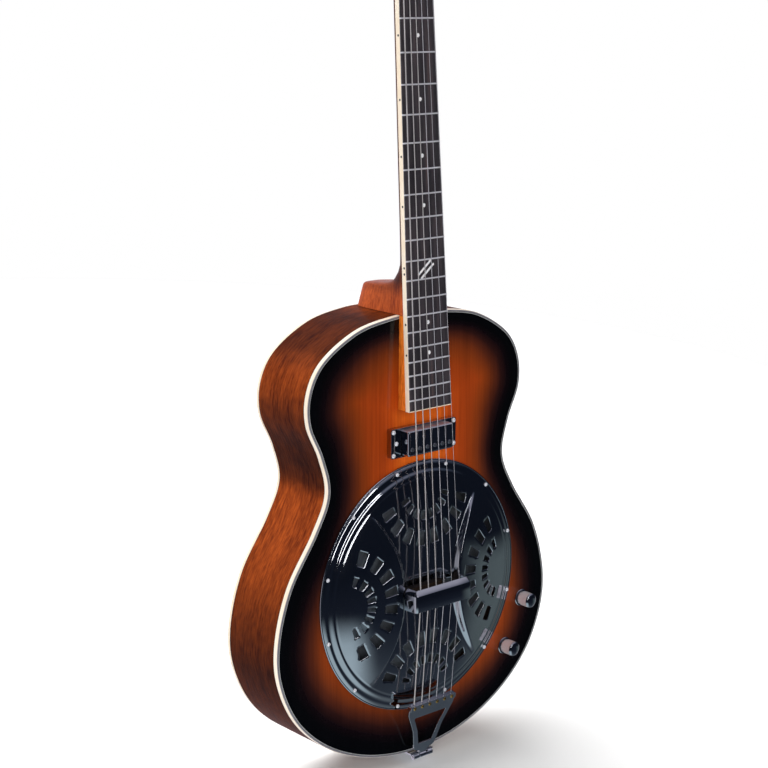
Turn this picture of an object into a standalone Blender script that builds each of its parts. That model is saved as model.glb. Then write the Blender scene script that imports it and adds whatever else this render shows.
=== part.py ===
"""A resonator guitar: a wooden body with a spun cone under a chromed coverplate, a bolted-on
fretted neck, a trapeze tailpiece, one pickup with two controls, and six geared tuners.

The guitar stands upright. X runs to the treble side, -Y is the front and Z runs up the neck.
Every length in this file is in millimetres, measured from the saddle line: x from the centre
line, y into the body from the front face of the soundboard, z up the neck from the saddle.
to_world() turns such a point into Blender's metres, with the origin on the end pin's face.
"""

import math

import bmesh
import bpy
from mathutils import Matrix, Vector

# ---------------------------------------------------------------- driving dimensions
MM = 0.001
SCALE_LENGTH = 635.0        # nut to saddle
BODY_BELOW_BRIDGE = 178.0
BODY_DEPTH = 80.0
END_PIN_LENGTH = 12.0       # from the rim to the end pin's face
GAP = 0.3                   # between pieces that rest on each other

PLATE_THICKNESS = 4.0
RIM_THICKNESS = 2.4
BINDING_WIDTH = 2.0
TOP_BINDING_HEIGHT = 5.0
BACK_BINDING_HEIGHT = 3.8
LINING_WIDTH = 6.0
LINING_HEIGHT = 14.0
BRACES = (("back_brace_upper", 205.0, 126.0), ("back_brace_lower", -95.0, 148.0))   # z, half length
BRACE_WIDTH = 10.0
BRACE_HEIGHT = 12.0
NECK_BLOCK_HALF = 31.5
NECK_BLOCK_LOW = 236.0
TAIL_BLOCK_HALF = 44.0
TAIL_BLOCK_TOP = -153.0
END_PIN_HOLE = 4.0          # radius
JACK_HOLE = 6.0             # radius

BODY_TOP = 283.0
FRETS = 20
BOARD_END = SCALE_LENGTH * 2 ** (-21 / 12)
BOARD_THICKNESS = 6.0
BOARD_NUT_HALF = 21.5
BOARD_TWELFTH_HALF = 26.25
NECK_SLOPE = 0.0552         # the strings' side of the neck leans back by this much per mm
BOARD_Y_AT_BODY = -12.2     # fretboard surface where the neck meets the body
NUT_LENGTH = 4.8
FRET_HALF_WIDTH = 1.2
FRET_HEIGHT = 0.9           # above the board
FRET_TANG = 1.0             # into it
TRUSS_ROD_RADIUS = 2.6
TRUSS_ROD_DEPTH = 12.0      # of its centre, below the playing surface
TRUSS_ROD_ENDS = (304.0, 650.0)
TRUSS_CHANNEL = (3.3, 10.0, 366.0)   # half width, depth, length

HEADSTOCK_FOOT = Vector((0, 14.3, 641.5))    # where its face leaves the nut
HEADSTOCK_ANGLE = math.radians(14)
HEADSTOCK_THICKNESS = 15.0
POST_PLACES = (45.0, 81.0, 117.0)
POST_X = 22.0
POST_RADIUS = 3.0
GEAR_RADIUS = 6.3
WORM_RADIUS = 3.0
GEAR_Y = HEADSTOCK_THICKNESS + 5.0
WORM_OFFSET = GEAR_RADIUS + WORM_RADIUS + GAP
WORM_SHAFT_RADIUS = 1.6
BUTTON_X = 51.0
BUTTON_HALF_SIZE = (4.6, 8.5, 8.0)
TUNER_PLATE_X = (12.5, 31.0)
TUNER_PLATE_ALONG = (33.0, 143.0)
TUNER_LUGS = ((13.4, 16.0), (28.2, 30.8))    # either side of the worm, in x

PLATE_CENTRE_Z = 2.0        # centre of the cone and the coverplate
COVER_RADIUS = 131.0
COVER_CREASE = 115.0
COVER_THICKNESS = 1.0
COVER_FOOT = 2.2            # the sheet's height at its rim, then at the crease
COVER_CREASE_HEIGHT = 7.0
VALLEY_RISE = 7.2           # the dome's further rise along the strings
FIELD_RISE = 6.8            # and what the fields beside them add
VALLEY_HALF = 34.5          # at the plate's centre
VALLEY_FLARE = 0.0045       # it widens with the square of the distance along the strings
WALL_WIDTH = 5.0            # of the slope between the valley and a field
COVER_STATIONS = (0.5, 30, 38, 48, 62, 80, 98, COVER_CREASE, COVER_RADIUS)
COVER_SIDES = 48
SADDLE_WINDOW = (32.0, 6.0)  # half sizes in x and z
FAN_DISTANCE = 105.0
FAN_ARCS = ((44.5, 59.5), (23.5, 33.0))     # a row of slots lies between each pair of radii
FAN_SLOTS = 8
FAN_SPREAD = math.radians(68)
SLOT_ANGLE = math.radians(9.2)
SOUNDWELL_RADIUS = 123.7
CONE_RADIUS = 120.5
CONE_LEDGE_Y = 14.0
CONE_APEX_Y = -6.0
CONE_SHEET = 0.7
BISCUIT_RADIUS = 21.0
BISCUIT_HEIGHT = 6.3
SADDLE_HALF = (29.5, 1.7)    # half sizes in x and z

STRING_Y_AT_SADDLE = -32.0
STRING_Y_AT_NUT = 5.4
STRING_SPREAD_SADDLE = 53.0
STRING_SPREAD_NUT = 35.4
STRING_RADII = (0.66, 0.53, 0.42, 0.33, 0.22, 0.18)    # bass to treble
STRING_NAMES = ("e_low", "a", "d", "g", "b", "e_high")
PALM_REST_Y = -38.0
PALM_REST_FOOT_X = 38.0
PALM_REST_HALF = 11.0       # along the strings

TAILPIECE_HINGE = Vector((0, -4.5, -182.0))
TAILPIECE_BAR = Vector((0, -20.0, -119.0))
TAILPIECE_HALF = 31.0
BRACKET_HALF = 15.0
BRACKET_THICKNESS = 1.6
KNUCKLE_RADIUS = 2.9
KNUCKLE_HALF = 4.6          # of the tailpiece's own knuckle, between the bracket's two
HINGE_PIN_RADIUS = 1.2

PICKUP_Z = 157.0
PICKUP_PLATE_HALF = (43.2, 15.0)
PICKUP_HOLE_HALF = (30.6, 13.6)
PICKUP_COVER_HALF = (30.0, 13.0)
PICKUP_FRONT = -18.0
POLE_SPREAD = 50.0
POLE_DROP = 6.0             # of the pole screws below the pickup's middle
POLE_RADIUS = 2.0
POLE_HOLE = 2.4             # radius
KNOBS = {"volume": (147.5, -46.4), "tone": (123.0, -95.0)}
KNOB_RADIUS = 7.75
CONTROL_HOLE = 5.0          # radius
SHAFT_RADIUS = 3.0
JACK_Z = -38.0
JACK_Y = BODY_DEPTH / 2

# Half of the body's outline, from the bottom up the treble side, as (x, z).
BODY_SIDE = ((0, -178), (62, -169.5), (117, -145), (157.5, -108), (179.3, -62), (181.5, -18),
             (166, 34), (134, 83), (118, 119), (125.5, 155), (140.5, 190), (139, 222),
             (121, 250), (80, 273.5), (36, 282), (0, 283))
OUTLINE_STEPS = 3

# Half of the headstock's outline, from the nut up, as (x, distance from the nut).
HEADSTOCK_SIDE = ((21.2, -1), (22.5, 8), (31.5, 26), (33, 60), (35.5, 140), (33, 152),
                  (20, 156), (8, 161), (0, 162))

# The neck's back, as (z, distance behind the fretboard's underside, squareness).
NECK_SECTIONS = ((283.3, 81.5, 7), (300, 80.2, 6), (305.5, 78.5, 5), (307.5, 68, 4), (309.5, 49, 4),
                 (312, 35, 3.6), (315, 27.5, 3.2), (320, 22.5, 2.8), (328, 18.2, 2.1),
                 (345, 16.0, 1.75), (430, 15.4, 1.7), (520, 14.8, 1.7), (600, 14.4, 1.75),
                 (628, 14.4, 2.0), (641, 15.2, 2.8))
HEEL_TAPER_FOOT = 0.15       # how much narrower the heel's back is than its front, at the body
HEEL_TAPER_TOP = 0.45        # and where the heel ends
HEEL_HEIGHT = 22.0
SECTION_POINTS = 12

COLOURS = {                 # base colour, roughness, metallic
    "sunburst": ((0.42, 0.13, 0.03), 0.2, 0),
    "mahogany": ((0.20, 0.07, 0.03), 0.3, 0),
    "binding": ((0.85, 0.80, 0.66), 0.35, 0),
    "rosewood": ((0.05, 0.035, 0.035), 0.5, 0),
    "spruce": ((0.72, 0.55, 0.35), 0.7, 0),
    "bone": ((0.85, 0.82, 0.74), 0.4, 0),
    "chrome": ((0.62, 0.63, 0.65), 0.08, 1),
    "aluminium": ((0.75, 0.76, 0.77), 0.35, 1),
    "maple": ((0.70, 0.50, 0.28), 0.5, 0),
    "steel": ((0.50, 0.50, 0.51), 0.3, 1),
    "bronze": ((0.55, 0.40, 0.22), 0.35, 1),
    "brass": ((0.62, 0.48, 0.20), 0.35, 1),
    "black_plastic": ((0.02, 0.02, 0.022), 0.4, 0),
}

FACING_UP = Matrix.Identity(3)
FACING_FRONT = Matrix.Rotation(math.radians(90), 3, "X")     # local z turned to -Y
FACING_TREBLE = Matrix.Rotation(math.radians(90), 3, "Y")    # local z turned to +X


# ---------------------------------------------------------------- scene helpers
def clear_scene():
    for old in list(bpy.data.objects):
        bpy.data.objects.remove(old, do_unlink=True)


def collection(name):
    made = bpy.data.collections.new(name)
    bpy.context.scene.collection.children.link(made)
    return made


def make_materials():
    made = {}
    for name, (colour, roughness, metallic) in COLOURS.items():
        material = bpy.data.materials.new(name)
        material.use_nodes = True
        shader = material.node_tree.nodes["Principled BSDF"]
        shader.inputs["Base Color"].default_value = (*colour, 1)
        shader.inputs["Roughness"].default_value = roughness
        shader.inputs["Metallic"].default_value = metallic
        made[name] = material
    return made


def to_world(point):
    """A point in guitar millimetres as Blender metres."""
    x, y, z = point
    return Vector((x, y - BODY_DEPTH / 2, z + BODY_BELOW_BRIDGE + END_PIN_LENGTH)) * MM


def placed(mesh_tool, name, material, origin=(0, 0, 0), turn=FACING_UP):
    """An object from a bmesh in millimetres about origin, turned and put in its place."""
    bmesh.ops.scale(mesh_tool, vec=(MM, MM, MM), verts=mesh_tool.verts)
    bmesh.ops.recalc_face_normals(mesh_tool, faces=mesh_tool.faces)
    mesh = bpy.data.meshes.new(name)
    mesh_tool.to_mesh(mesh)
    mesh_tool.free()
    made = bpy.data.objects.new(name, mesh)
    made.matrix_world = Matrix.Translation(to_world(origin)) @ turn.to_4x4()
    mesh.materials.append(MATERIALS[material])
    PARTS.objects.link(made)
    return made


def as_mesh(item):
    """Applies an object's modifiers, or turns a curve into a mesh with its caps welded on."""
    bpy.context.view_layer.update()
    evaluated = item.evaluated_get(bpy.context.evaluated_depsgraph_get())
    mesh = bpy.data.meshes.new_from_object(evaluated)
    tool = bmesh.new()
    tool.from_mesh(mesh)
    bmesh.ops.remove_doubles(tool, verts=tool.verts, dist=1e-6)
    bmesh.ops.recalc_face_normals(tool, faces=tool.faces)
    tool.to_mesh(mesh)
    tool.free()
    if item.type == "MESH":
        item.modifiers.clear()
        item.data = mesh
        return item
    name = item.name
    made = bpy.data.objects.new(name + "_mesh", mesh)
    made.matrix_world = item.matrix_world
    PARTS.objects.link(made)
    bpy.data.objects.remove(item, do_unlink=True)
    made.name = name
    return made


def boolean(target, others, operation):
    """Cuts or joins each of the others, which are then removed."""
    for other in others:
        modifier = target.modifiers.new("boolean", "BOOLEAN")
        modifier.operation = operation
        modifier.solver = "EXACT"
        modifier.object = other
    as_mesh(target)
    for other in others:
        bpy.data.objects.remove(other, do_unlink=True)
    return target


def cut(target, *cutters):
    return boolean(target, cutters, "DIFFERENCE")


def join(target, *pieces):
    return boolean(target, pieces, "UNION")


def smooth_round(item, angle=40):
    item.data.shade_smooth()
    item.data.set_sharp_from_angle(angle=math.radians(angle))
    return item


# ---------------------------------------------------------------- shape helpers
def block(name, material, low, high, origin=(0, 0, 0), turn=FACING_UP):
    """A box between two corners, both relative to origin."""
    tool = bmesh.new()
    bmesh.ops.create_cube(tool, size=1)
    for vertex in tool.verts:
        vertex.co = Vector(
            [low[i] if vertex.co[i] < 0 else high[i] for i in range(3)])
    return placed(tool, name, material, origin, turn)


def rod(name, material, radius, start, end, sides=16):
    """A cylinder between two points."""
    start, end = Vector(start), Vector(end)
    along = end - start
    tool = bmesh.new()
    bmesh.ops.create_cone(tool, cap_ends=True, segments=sides, radius1=radius,
                          radius2=radius, depth=along.length)
    turn = Vector((0, 0, 1)).rotation_difference(along).to_matrix()
    return placed(tool, name, material, (start + end) / 2, turn)


def turned(name, material, profile, origin, turn, steps=32):
    """A profile of (radius, height) points turned about the local z axis at origin."""
    tool = bmesh.new()
    points = [tool.verts.new((radius * MM, 0, height * MM)) for radius, height in profile]
    following = points[1:] if profile[0][0] == 0 else points[1:] + points[:1]
    for first, second in zip(points, following):
        tool.edges.new((first, second))
    mesh = bpy.data.meshes.new(name)
    tool.to_mesh(mesh)
    tool.free()
    made = bpy.data.objects.new(name, mesh)
    made.matrix_world = Matrix.Translation(to_world(origin)) @ turn.to_4x4()
    mesh.materials.append(MATERIALS[material])
    PARTS.objects.link(made)
    screw = made.modifiers.new("turn", "SCREW")
    screw.steps = screw.render_steps = steps
    screw.use_merge_vertices = True
    screw.merge_threshold = 1e-6
    return smooth_round(as_mesh(made))


def flat_plate(name, material, outlines, low, high, origin=(0, 0, 0), turn=FACING_FRONT):
    """Closed outlines filled and thickened from depth low to high along local -z."""
    curve = bpy.data.curves.new(name, "CURVE")
    curve.dimensions = "2D"
    curve.fill_mode = "BOTH"
    curve.extrude = (high - low) / 2 * MM
    for outline in outlines:
        spline = curve.splines.new("POLY")
        spline.points.add(len(outline) - 1)
        spline.use_cyclic_u = True
        for point, (x, z) in zip(spline.points, outline):
            point.co = (x * MM, z * MM, 0, 1)
    made = bpy.data.objects.new(name, curve)
    middle = turn @ Vector((0, 0, -(low + high) / 2))
    made.matrix_world = Matrix.Translation(to_world(Vector(origin) + middle)) @ turn.to_4x4()
    PARTS.objects.link(made)
    made = as_mesh(made)
    made.data.materials.append(MATERIALS[material])
    return made


def wire(name, material, radius, points):
    """A tube through the points."""
    curve = bpy.data.curves.new(name, "CURVE")
    curve.dimensions = "3D"
    curve.bevel_depth = radius * MM
    curve.bevel_resolution = 1
    curve.use_fill_caps = True
    spline = curve.splines.new("POLY")
    spline.points.add(len(points) - 1)
    for point, place in zip(spline.points, points):
        point.co = (*to_world(place), 1)
    made = bpy.data.objects.new(name, curve)
    PARTS.objects.link(made)
    made = as_mesh(made)
    made.data.materials.append(MATERIALS[material])
    return smooth_round(made, 60)


def circle(x, z, radius, sides):
    return [(x + radius * math.cos(math.tau * i / sides),
             z + radius * math.sin(math.tau * i / sides)) for i in range(sides)]


def rectangle(low_x, low_z, high_x, high_z):
    return [(low_x, low_z), (high_x, low_z), (high_x, high_z), (low_x, high_z)]


def centred(z, half_x, half_z):
    """A rectangle about the centre line at z."""
    return rectangle(-half_x, z - half_z, half_x, z + half_z)


def mirrored(half):
    """A closed outline from its half at positive x, whose ends may lie on the centre line."""
    return list(half) + [(-x, z) for x, z in reversed(half) if x > 0]


def spline_points(points, steps):
    """A smooth closed curve through the points (Catmull-Rom)."""
    made = []
    count = len(points)
    for i in range(count):
        a, b, c, d = (Vector(points[(i + k) % count]) for k in (-1, 0, 1, 2))
        for step in range(steps):
            t = step / steps
            made.append(tuple(0.5 * (2 * b + (c - a) * t + (2 * a - 5 * b + 4 * c - d) * t ** 2
                                     + (3 * b - a - 3 * c + d) * t ** 3)))
    return made


def body_outline(inset=0.0):
    """The body's closed outline, moved inwards by inset."""
    points = [Vector(p) for p in spline_points(mirrored(BODY_SIDE), OUTLINE_STEPS)]
    made = []
    for i, point in enumerate(points):
        along = (points[(i + 1) % len(points)] - points[i - 1]).normalized()
        made.append(tuple(point + inset * Vector((-along.y, along.x))))
    return made


def board_top(z):
    """The depth of the fretboard's playing surface at z."""
    return BOARD_Y_AT_BODY + NECK_SLOPE * (z - BODY_TOP)


def board_half(z):
    """Half the fretboard's width at z."""
    twelfth = SCALE_LENGTH / 2
    taper = (BOARD_TWELFTH_HALF - BOARD_NUT_HALF) / (SCALE_LENGTH - twelfth)
    return BOARD_NUT_HALF + taper * (SCALE_LENGTH - z)


def string_x(index, spread):
    return spread * (index / (len(STRING_NAMES) - 1) - 0.5)


# ---------------------------------------------------------------- body
def make_body():
    rim_back = BODY_DEPTH - BACK_BINDING_HEIGHT - GAP
    hole_radius = SOUNDWELL_RADIUS + GAP
    flat_plate(
        "top_plate", "sunburst",
        [body_outline(BINDING_WIDTH + GAP), circle(0, PLATE_CENTRE_Z, hole_radius, 48),
         centred(PICKUP_Z, PICKUP_HOLE_HALF[0] + 1, PICKUP_HOLE_HALF[1] + 1)]
        + [circle(x, z, CONTROL_HOLE, 16) for x, z in KNOBS.values()],
        0, PLATE_THICKNESS)
    flat_plate("back_plate", "mahogany", [body_outline(BINDING_WIDTH + GAP)],
               BODY_DEPTH - PLATE_THICKNESS, BODY_DEPTH)
    flat_plate("top_binding", "binding", [body_outline(), body_outline(BINDING_WIDTH)],
               0, TOP_BINDING_HEIGHT)
    flat_plate("back_binding", "binding", [body_outline(), body_outline(BINDING_WIDTH)],
               BODY_DEPTH - BACK_BINDING_HEIGHT, BODY_DEPTH)
    for name, side in (("rim_bass_side", -1), ("rim_treble_side", 1)):
        make_rim(name, side, TOP_BINDING_HEIGHT + GAP, rim_back)
    make_linings()
    make_blocks()


def make_rim(name, side, low, high):
    """One bent side, with its half of the end-pin hole and the jack's hole in the treble one."""
    outer = [p for p in body_outline() if p[0] * side > 1]
    inner = [p for p in body_outline(RIM_THICKNESS) if p[0] * side > 1]
    seam = GAP / 2 * side

    def with_ends(line, bottom, top):
        line = sorted(line, key=lambda p: math.atan2(p[1] - 50, p[0] * side))
        return [(seam, bottom)] + line + [(seam, top)]

    outer = with_ends(outer, -BODY_BELOW_BRIDGE, BODY_TOP)
    inner = with_ends(inner, RIM_THICKNESS - BODY_BELOW_BRIDGE, BODY_TOP - RIM_THICKNESS)
    rim = flat_plate(name, "mahogany", [outer + inner[::-1]], low, high)
    cut(rim, end_pin_drill())
    if side > 0:
        cut(rim, rod("cutter", "mahogany", JACK_HOLE, (150, JACK_Y, JACK_Z),
                     (200, JACK_Y, JACK_Z)))


def end_pin_drill():
    middle = BODY_DEPTH / 2
    return rod("cutter", "mahogany", END_PIN_HOLE, (0, middle, -190), (0, middle, -140))


def make_linings():
    """The kerfed strips that the plates are glued to, open where the neck block stands."""
    ring = [body_outline(RIM_THICKNESS + GAP), body_outline(RIM_THICKNESS + GAP + LINING_WIDTH)]
    top_low = PLATE_THICKNESS + GAP
    back_high = BODY_DEPTH - PLATE_THICKNESS - GAP
    for name, low, high in (("top_lining", top_low, top_low + LINING_HEIGHT),
                            ("back_lining", back_high - LINING_HEIGHT, back_high)):
        lining = flat_plate(name, "maple", ring, low, high)
        opening = NECK_BLOCK_HALF + 0.5
        cut(lining, block("cutter", "maple", (-opening, 0, NECK_BLOCK_LOW - 6),
                          (opening, BODY_DEPTH, 300)))
    for name, z, half in BRACES:
        block(name, "spruce", (-half, back_high - BRACE_HEIGHT, z - BRACE_WIDTH / 2),
              (half, back_high, z + BRACE_WIDTH / 2))


def make_blocks():
    """The neck and tail blocks, which follow the rim inside the body."""
    inside = body_outline(RIM_THICKNESS + GAP)
    low, high = PLATE_THICKNESS + GAP, BODY_DEPTH - PLATE_THICKNESS - GAP
    neck_edge = sorted(p for p in inside if abs(p[0]) < NECK_BLOCK_HALF and p[1] > 200)
    neck_ends = [(-NECK_BLOCK_HALF, NECK_BLOCK_LOW)], [(NECK_BLOCK_HALF, NECK_BLOCK_LOW)]
    flat_plate("neck_block", "mahogany", [neck_ends[0] + neck_edge + neck_ends[1]], low, high)
    tail_edge = sorted(p for p in inside if abs(p[0]) < TAIL_BLOCK_HALF + 1 and p[1] < 0)
    tail_ends = [(-TAIL_BLOCK_HALF, TAIL_BLOCK_TOP)], [(TAIL_BLOCK_HALF, TAIL_BLOCK_TOP)]
    tail = flat_plate("tail_block", "mahogany", [tail_ends[0] + tail_edge + tail_ends[1]],
                      low + LINING_HEIGHT + GAP, high - LINING_HEIGHT - GAP)
    cut(tail, end_pin_drill())


# ---------------------------------------------------------------- neck
def make_neck():
    """The shaft and heel as one loft, joined to the headstock."""
    tool = bmesh.new()
    rings = []
    for z, depth, squareness in NECK_SECTIONS:
        front = board_top(z) + BOARD_THICKNESS + GAP
        rings.append(neck_ring(tool, z, board_half(z), front, depth, squareness))
    rings.append(neck_ring(tool, 652, 20.5, 19.0, 11.0, 3))
    for first, second in zip(rings, rings[1:]):
        for i in range(len(first)):
            k = (i + 1) % len(first)
            tool.faces.new((first[i], first[k], second[k], second[i]))
    tool.faces.new(rings[0])
    tool.faces.new(rings[-1])
    neck = placed(tool, "neck", "mahogany")
    origin, turn = headstock_frame()
    head = flat_plate("headstock", "mahogany", [mirrored(HEADSTOCK_SIDE)],
                      0, HEADSTOCK_THICKNESS, origin, turn)
    join(neck, head)
    half, deep, long = TRUSS_CHANNEL
    channel = block("cutter", "mahogany", (-half, 0, 0), (half, deep, long),
                    (0, board_top(300) + BOARD_THICKNESS - 1, 300), neck_turn())
    holes = []
    for x in (-POST_X, POST_X):
        for place in POST_PLACES:
            holes.append(rod("cutter", "mahogany", POST_RADIUS + 0.5,
                             head_point(x, -5, place), head_point(x, 25, place)))
    cut(neck, channel, *holes)
    smooth_round(neck, 35)


def neck_ring(tool, z, half, front, depth, squareness):
    """One closed cross-section: flat at the front, rounded behind, narrower towards the heel cap."""
    climb = min((z - BODY_TOP) / HEEL_HEIGHT, 1)
    taper = HEEL_TAPER_FOOT + climb * (HEEL_TAPER_TOP - HEEL_TAPER_FOOT)
    ring = []
    for i in range(SECTION_POINTS + 1):
        angle = math.pi * i / SECTION_POINTS
        behind = depth * abs(math.sin(angle)) ** (2 / squareness)
        across = math.copysign(abs(math.cos(angle)) ** (2 / squareness), math.cos(angle))
        narrowing = 1 - taper * behind / BODY_DEPTH
        ring.append(tool.verts.new((half * across * narrowing, front + behind, z)))
    return ring


def neck_turn():
    return Matrix.Rotation(-math.atan(NECK_SLOPE), 3, "X")


def headstock_frame():
    """The headstock's front plane: its foot, and how flat_plate is turned to it."""
    return HEADSTOCK_FOOT, Matrix.Rotation(-HEADSTOCK_ANGLE, 3, "X") @ FACING_FRONT


def head_point(x, y, along):
    """A point on the headstock: x across it, y behind its face, along it from the nut."""
    return HEADSTOCK_FOOT + Matrix.Rotation(-HEADSTOCK_ANGLE, 3, "X") @ Vector((x, y, along))


def make_fretboard():
    """The board with its frets pressed in."""
    length = (SCALE_LENGTH - 0.2 - BOARD_END) / math.cos(math.atan(NECK_SLOPE))
    turn = neck_turn() @ FACING_FRONT
    origin = Vector((0, board_top(BOARD_END), BOARD_END))
    low_half, high_half = board_half(BOARD_END), board_half(SCALE_LENGTH)
    board = flat_plate("fretboard", "rosewood",
                       [[(-low_half, 0), (low_half, 0), (high_half, length), (-high_half, length)]],
                       0, BOARD_THICKNESS, origin, turn)
    frets = []
    for number in range(1, FRETS + 1):
        z = SCALE_LENGTH * 2 ** (-number / 12)
        half = board_half(z) - 0.3
        place = Vector((0, board_top(z), z))
        frets.append(block("fret", "steel", (-half, -FRET_HEIGHT, -FRET_HALF_WIDTH),
                           (half, FRET_TANG, FRET_HALF_WIDTH), place, neck_turn()))
    join(board, *frets)


def make_neck_fittings():
    """The wedge under the board's tongue, the nut, the truss rod and its cover."""
    riser = block("fretboard_riser", "mahogany", (-1, 0, 0), (1, 1, 1))
    for vertex in riser.data.vertices:
        x, y, z = vertex.co / MM
        height = BOARD_END + GAP if z < 0.5 else BODY_TOP - GAP
        depth = board_top(height) + BOARD_THICKNESS + 2 * GAP if y < 0.5 else -GAP
        vertex.co = Vector((math.copysign(board_half(height) - 0.6, x), depth, height)) * MM
    nut_back = board_top(SCALE_LENGTH) + BOARD_THICKNESS - 0.1
    comb("nut", "bone", BOARD_NUT_HALF - 0.2, nut_back, STRING_Y_AT_NUT - 0.5,
         STRING_SPREAD_NUT, STRING_Y_AT_NUT, SCALE_LENGTH + 0.2, SCALE_LENGTH + 0.2 + NUT_LENGTH)
    low, high = ((0, board_top(z) + TRUSS_ROD_DEPTH, z) for z in TRUSS_ROD_ENDS)
    rod("truss_rod", "steel", TRUSS_ROD_RADIUS, low, high, sides=12)
    origin, turn = headstock_frame()
    flat_plate("truss_rod_cover", "black_plastic",
               [[(-6, 4), (6, 4), (9.5, 9), (8, 24), (0, 38), (-8, 24), (-9.5, 9)]],
               -1.9, -GAP, origin, turn)


def comb(name, material, half, back, front, spread, string_y, low_z, high_z):
    """A string bearer: a bar with a slot for each string, its profile in x and y."""
    outline = [(-half, back), (-half, front + 1.5)]
    for index, radius in enumerate(STRING_RADII):
        x = string_x(index, spread)
        wide, floor = radius + 0.35, string_y + radius + GAP
        outline += [(x - wide - 0.4, front), (x - wide, floor), (x + wide, floor),
                    (x + wide + 0.4, front)]
    outline += [(half, front + 1.5), (half, back)]
    flat_plate(name, material, [outline], -high_z, -low_z, (0, 0, 0), FACING_UP)


# ---------------------------------------------------------------- resonator
def cover_height(x, z):
    """How far the coverplate's surface stands in front of the soundboard at x, z."""
    r = min(math.hypot(x, z - PLATE_CENTRE_Z), COVER_RADIUS)
    if r > COVER_CREASE:
        slope = (COVER_CREASE_HEIGHT - COVER_FOOT) / (COVER_RADIUS - COVER_CREASE)
        return COVER_FOOT + slope * (COVER_RADIUS - r)
    arch = 1 - (r / COVER_CREASE) ** 3
    half_valley = VALLEY_HALF + VALLEY_FLARE * (z - PLATE_CENTRE_Z) ** 2
    raised = min(max((abs(x) - half_valley) / WALL_WIDTH + 0.5, 0), 1)
    field = FIELD_RISE * raised * raised * (3 - 2 * raised)
    return COVER_CREASE_HEIGHT + arch * (VALLEY_RISE + field)


def make_coverplate():
    """A domed sheet with a string valley, four fans of sound slots and a slot for the saddle."""
    tool = bmesh.new()
    line = [tool.verts.new((r, 0, PLATE_CENTRE_Z)) for r in COVER_STATIONS]
    edges = [tool.edges.new(pair) for pair in zip(line, line[1:])]
    bmesh.ops.spin(tool, geom=line + edges, cent=(0, 0, PLATE_CENTRE_Z), axis=(0, 1, 0),
                   angle=math.tau, steps=COVER_SIDES, use_merge=True)
    bmesh.ops.remove_doubles(tool, verts=tool.verts, dist=0.01)
    bmesh.ops.holes_fill(tool, edges=[e for e in tool.edges if e.is_boundary
                                      and e.verts[0].co.x ** 2 < 1], sides=COVER_SIDES)
    for vertex in tool.verts:
        vertex.co.y = -cover_height(vertex.co.x, vertex.co.z)
    cover = placed(tool, "coverplate", "chrome")
    shell = cover.modifiers.new("sheet", "SOLIDIFY")
    shell.thickness = COVER_THICKNESS * MM
    shell.offset = -1 if cover.data.polygons[0].normal.y < 0 else 1
    as_mesh(cover)
    half_x, half_z = SADDLE_WINDOW
    cutters = [block("cutter", "chrome", (-half_x, -40, -half_z), (half_x, 0, half_z))]
    for quarter in range(4):
        cutters += fan_cutters(math.tau * quarter / 4)
    cut(cover, *cutters)
    smooth_round(cover, 30)


def fan_cutters(direction):
    """The cutters of one fan, whose centre lies that way from the plate's centre."""
    centre = Vector((FAN_DISTANCE * math.cos(direction),
                     PLATE_CENTRE_Z + FAN_DISTANCE * math.sin(direction)))
    half = SLOT_ANGLE / 2
    made = []
    for near, far in FAN_ARCS:
        for slot in range(FAN_SLOTS):
            spread = FAN_SPREAD * (2 * slot / (FAN_SLOTS - 1) - 1)
            middle = direction + math.pi + spread
            corners = [centre + reach * Vector((math.cos(angle), math.sin(angle)))
                       for reach, angle in ((near, middle - half), (far, middle - half),
                                            (far, middle + half), (near, middle + half))]
            made.append(flat_plate("cutter", "chrome", [corners], -40, 5))
    return made


def make_resonator():
    """The soundwell, the cone on its ledge, the biscuit and saddle, and what covers them."""
    centre = (0, 0, PLATE_CENTRE_Z)
    ledge = -CONE_LEDGE_Y
    turned("soundwell", "maple",
           [(SOUNDWELL_RADIUS, -0.5), (SOUNDWELL_RADIUS, -38), (112, -38), (112, ledge),
            (SOUNDWELL_RADIUS - 2.6, ledge), (SOUNDWELL_RADIUS - 2.6, -0.5)],
           centre, FACING_FRONT, 48)
    flange = ledge + GAP
    apex = -CONE_APEX_Y
    back_face = [(CONE_RADIUS, flange), (111.5, flange), (108.2, flange + 3), (60, apex - 6.5),
                 (22, apex - CONE_SHEET), (0, apex - CONE_SHEET)]
    front_face = [(radius, height + CONE_SHEET) for radius, height in back_face]
    turned("cone", "aluminium", front_face[::-1] + back_face, centre, FACING_FRONT, 36)
    low = apex + GAP
    turned("biscuit", "maple",
           [(0, low), (BISCUIT_RADIUS, low), (BISCUIT_RADIUS, low + BISCUIT_HEIGHT),
            (0, low + BISCUIT_HEIGHT)],
           (0, 0, 0), FACING_FRONT, 32)
    saddle_back = -(low + BISCUIT_HEIGHT + GAP)
    half_x, half_z = SADDLE_HALF
    comb("saddle", "maple", half_x, saddle_back, STRING_Y_AT_SADDLE - 0.4, STRING_SPREAD_SADDLE,
         STRING_Y_AT_SADDLE, -half_z, half_z)
    make_coverplate()
    make_palm_rest()


def make_palm_rest():
    """A bridge of sheet metal over the saddle, standing on the coverplate's two ridges."""
    foot = -cover_height(PALM_REST_FOOT_X, 0) - 0.8
    outer = [(38.6, foot), (36.6, PALM_REST_Y + 5), (32.5, PALM_REST_Y)]
    inner = [(31.8, PALM_REST_Y + 1.4), (35.2, PALM_REST_Y + 5.6), (37.2, foot)]
    outline = (outer + [(-x, y) for x, y in outer[::-1]]
               + [(-x, y) for x, y in inner[::-1]] + inner)
    flat_plate("palm_rest", "chrome", [outline], -PALM_REST_HALF, PALM_REST_HALF,
               (0, 0, 0), FACING_UP)


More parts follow.
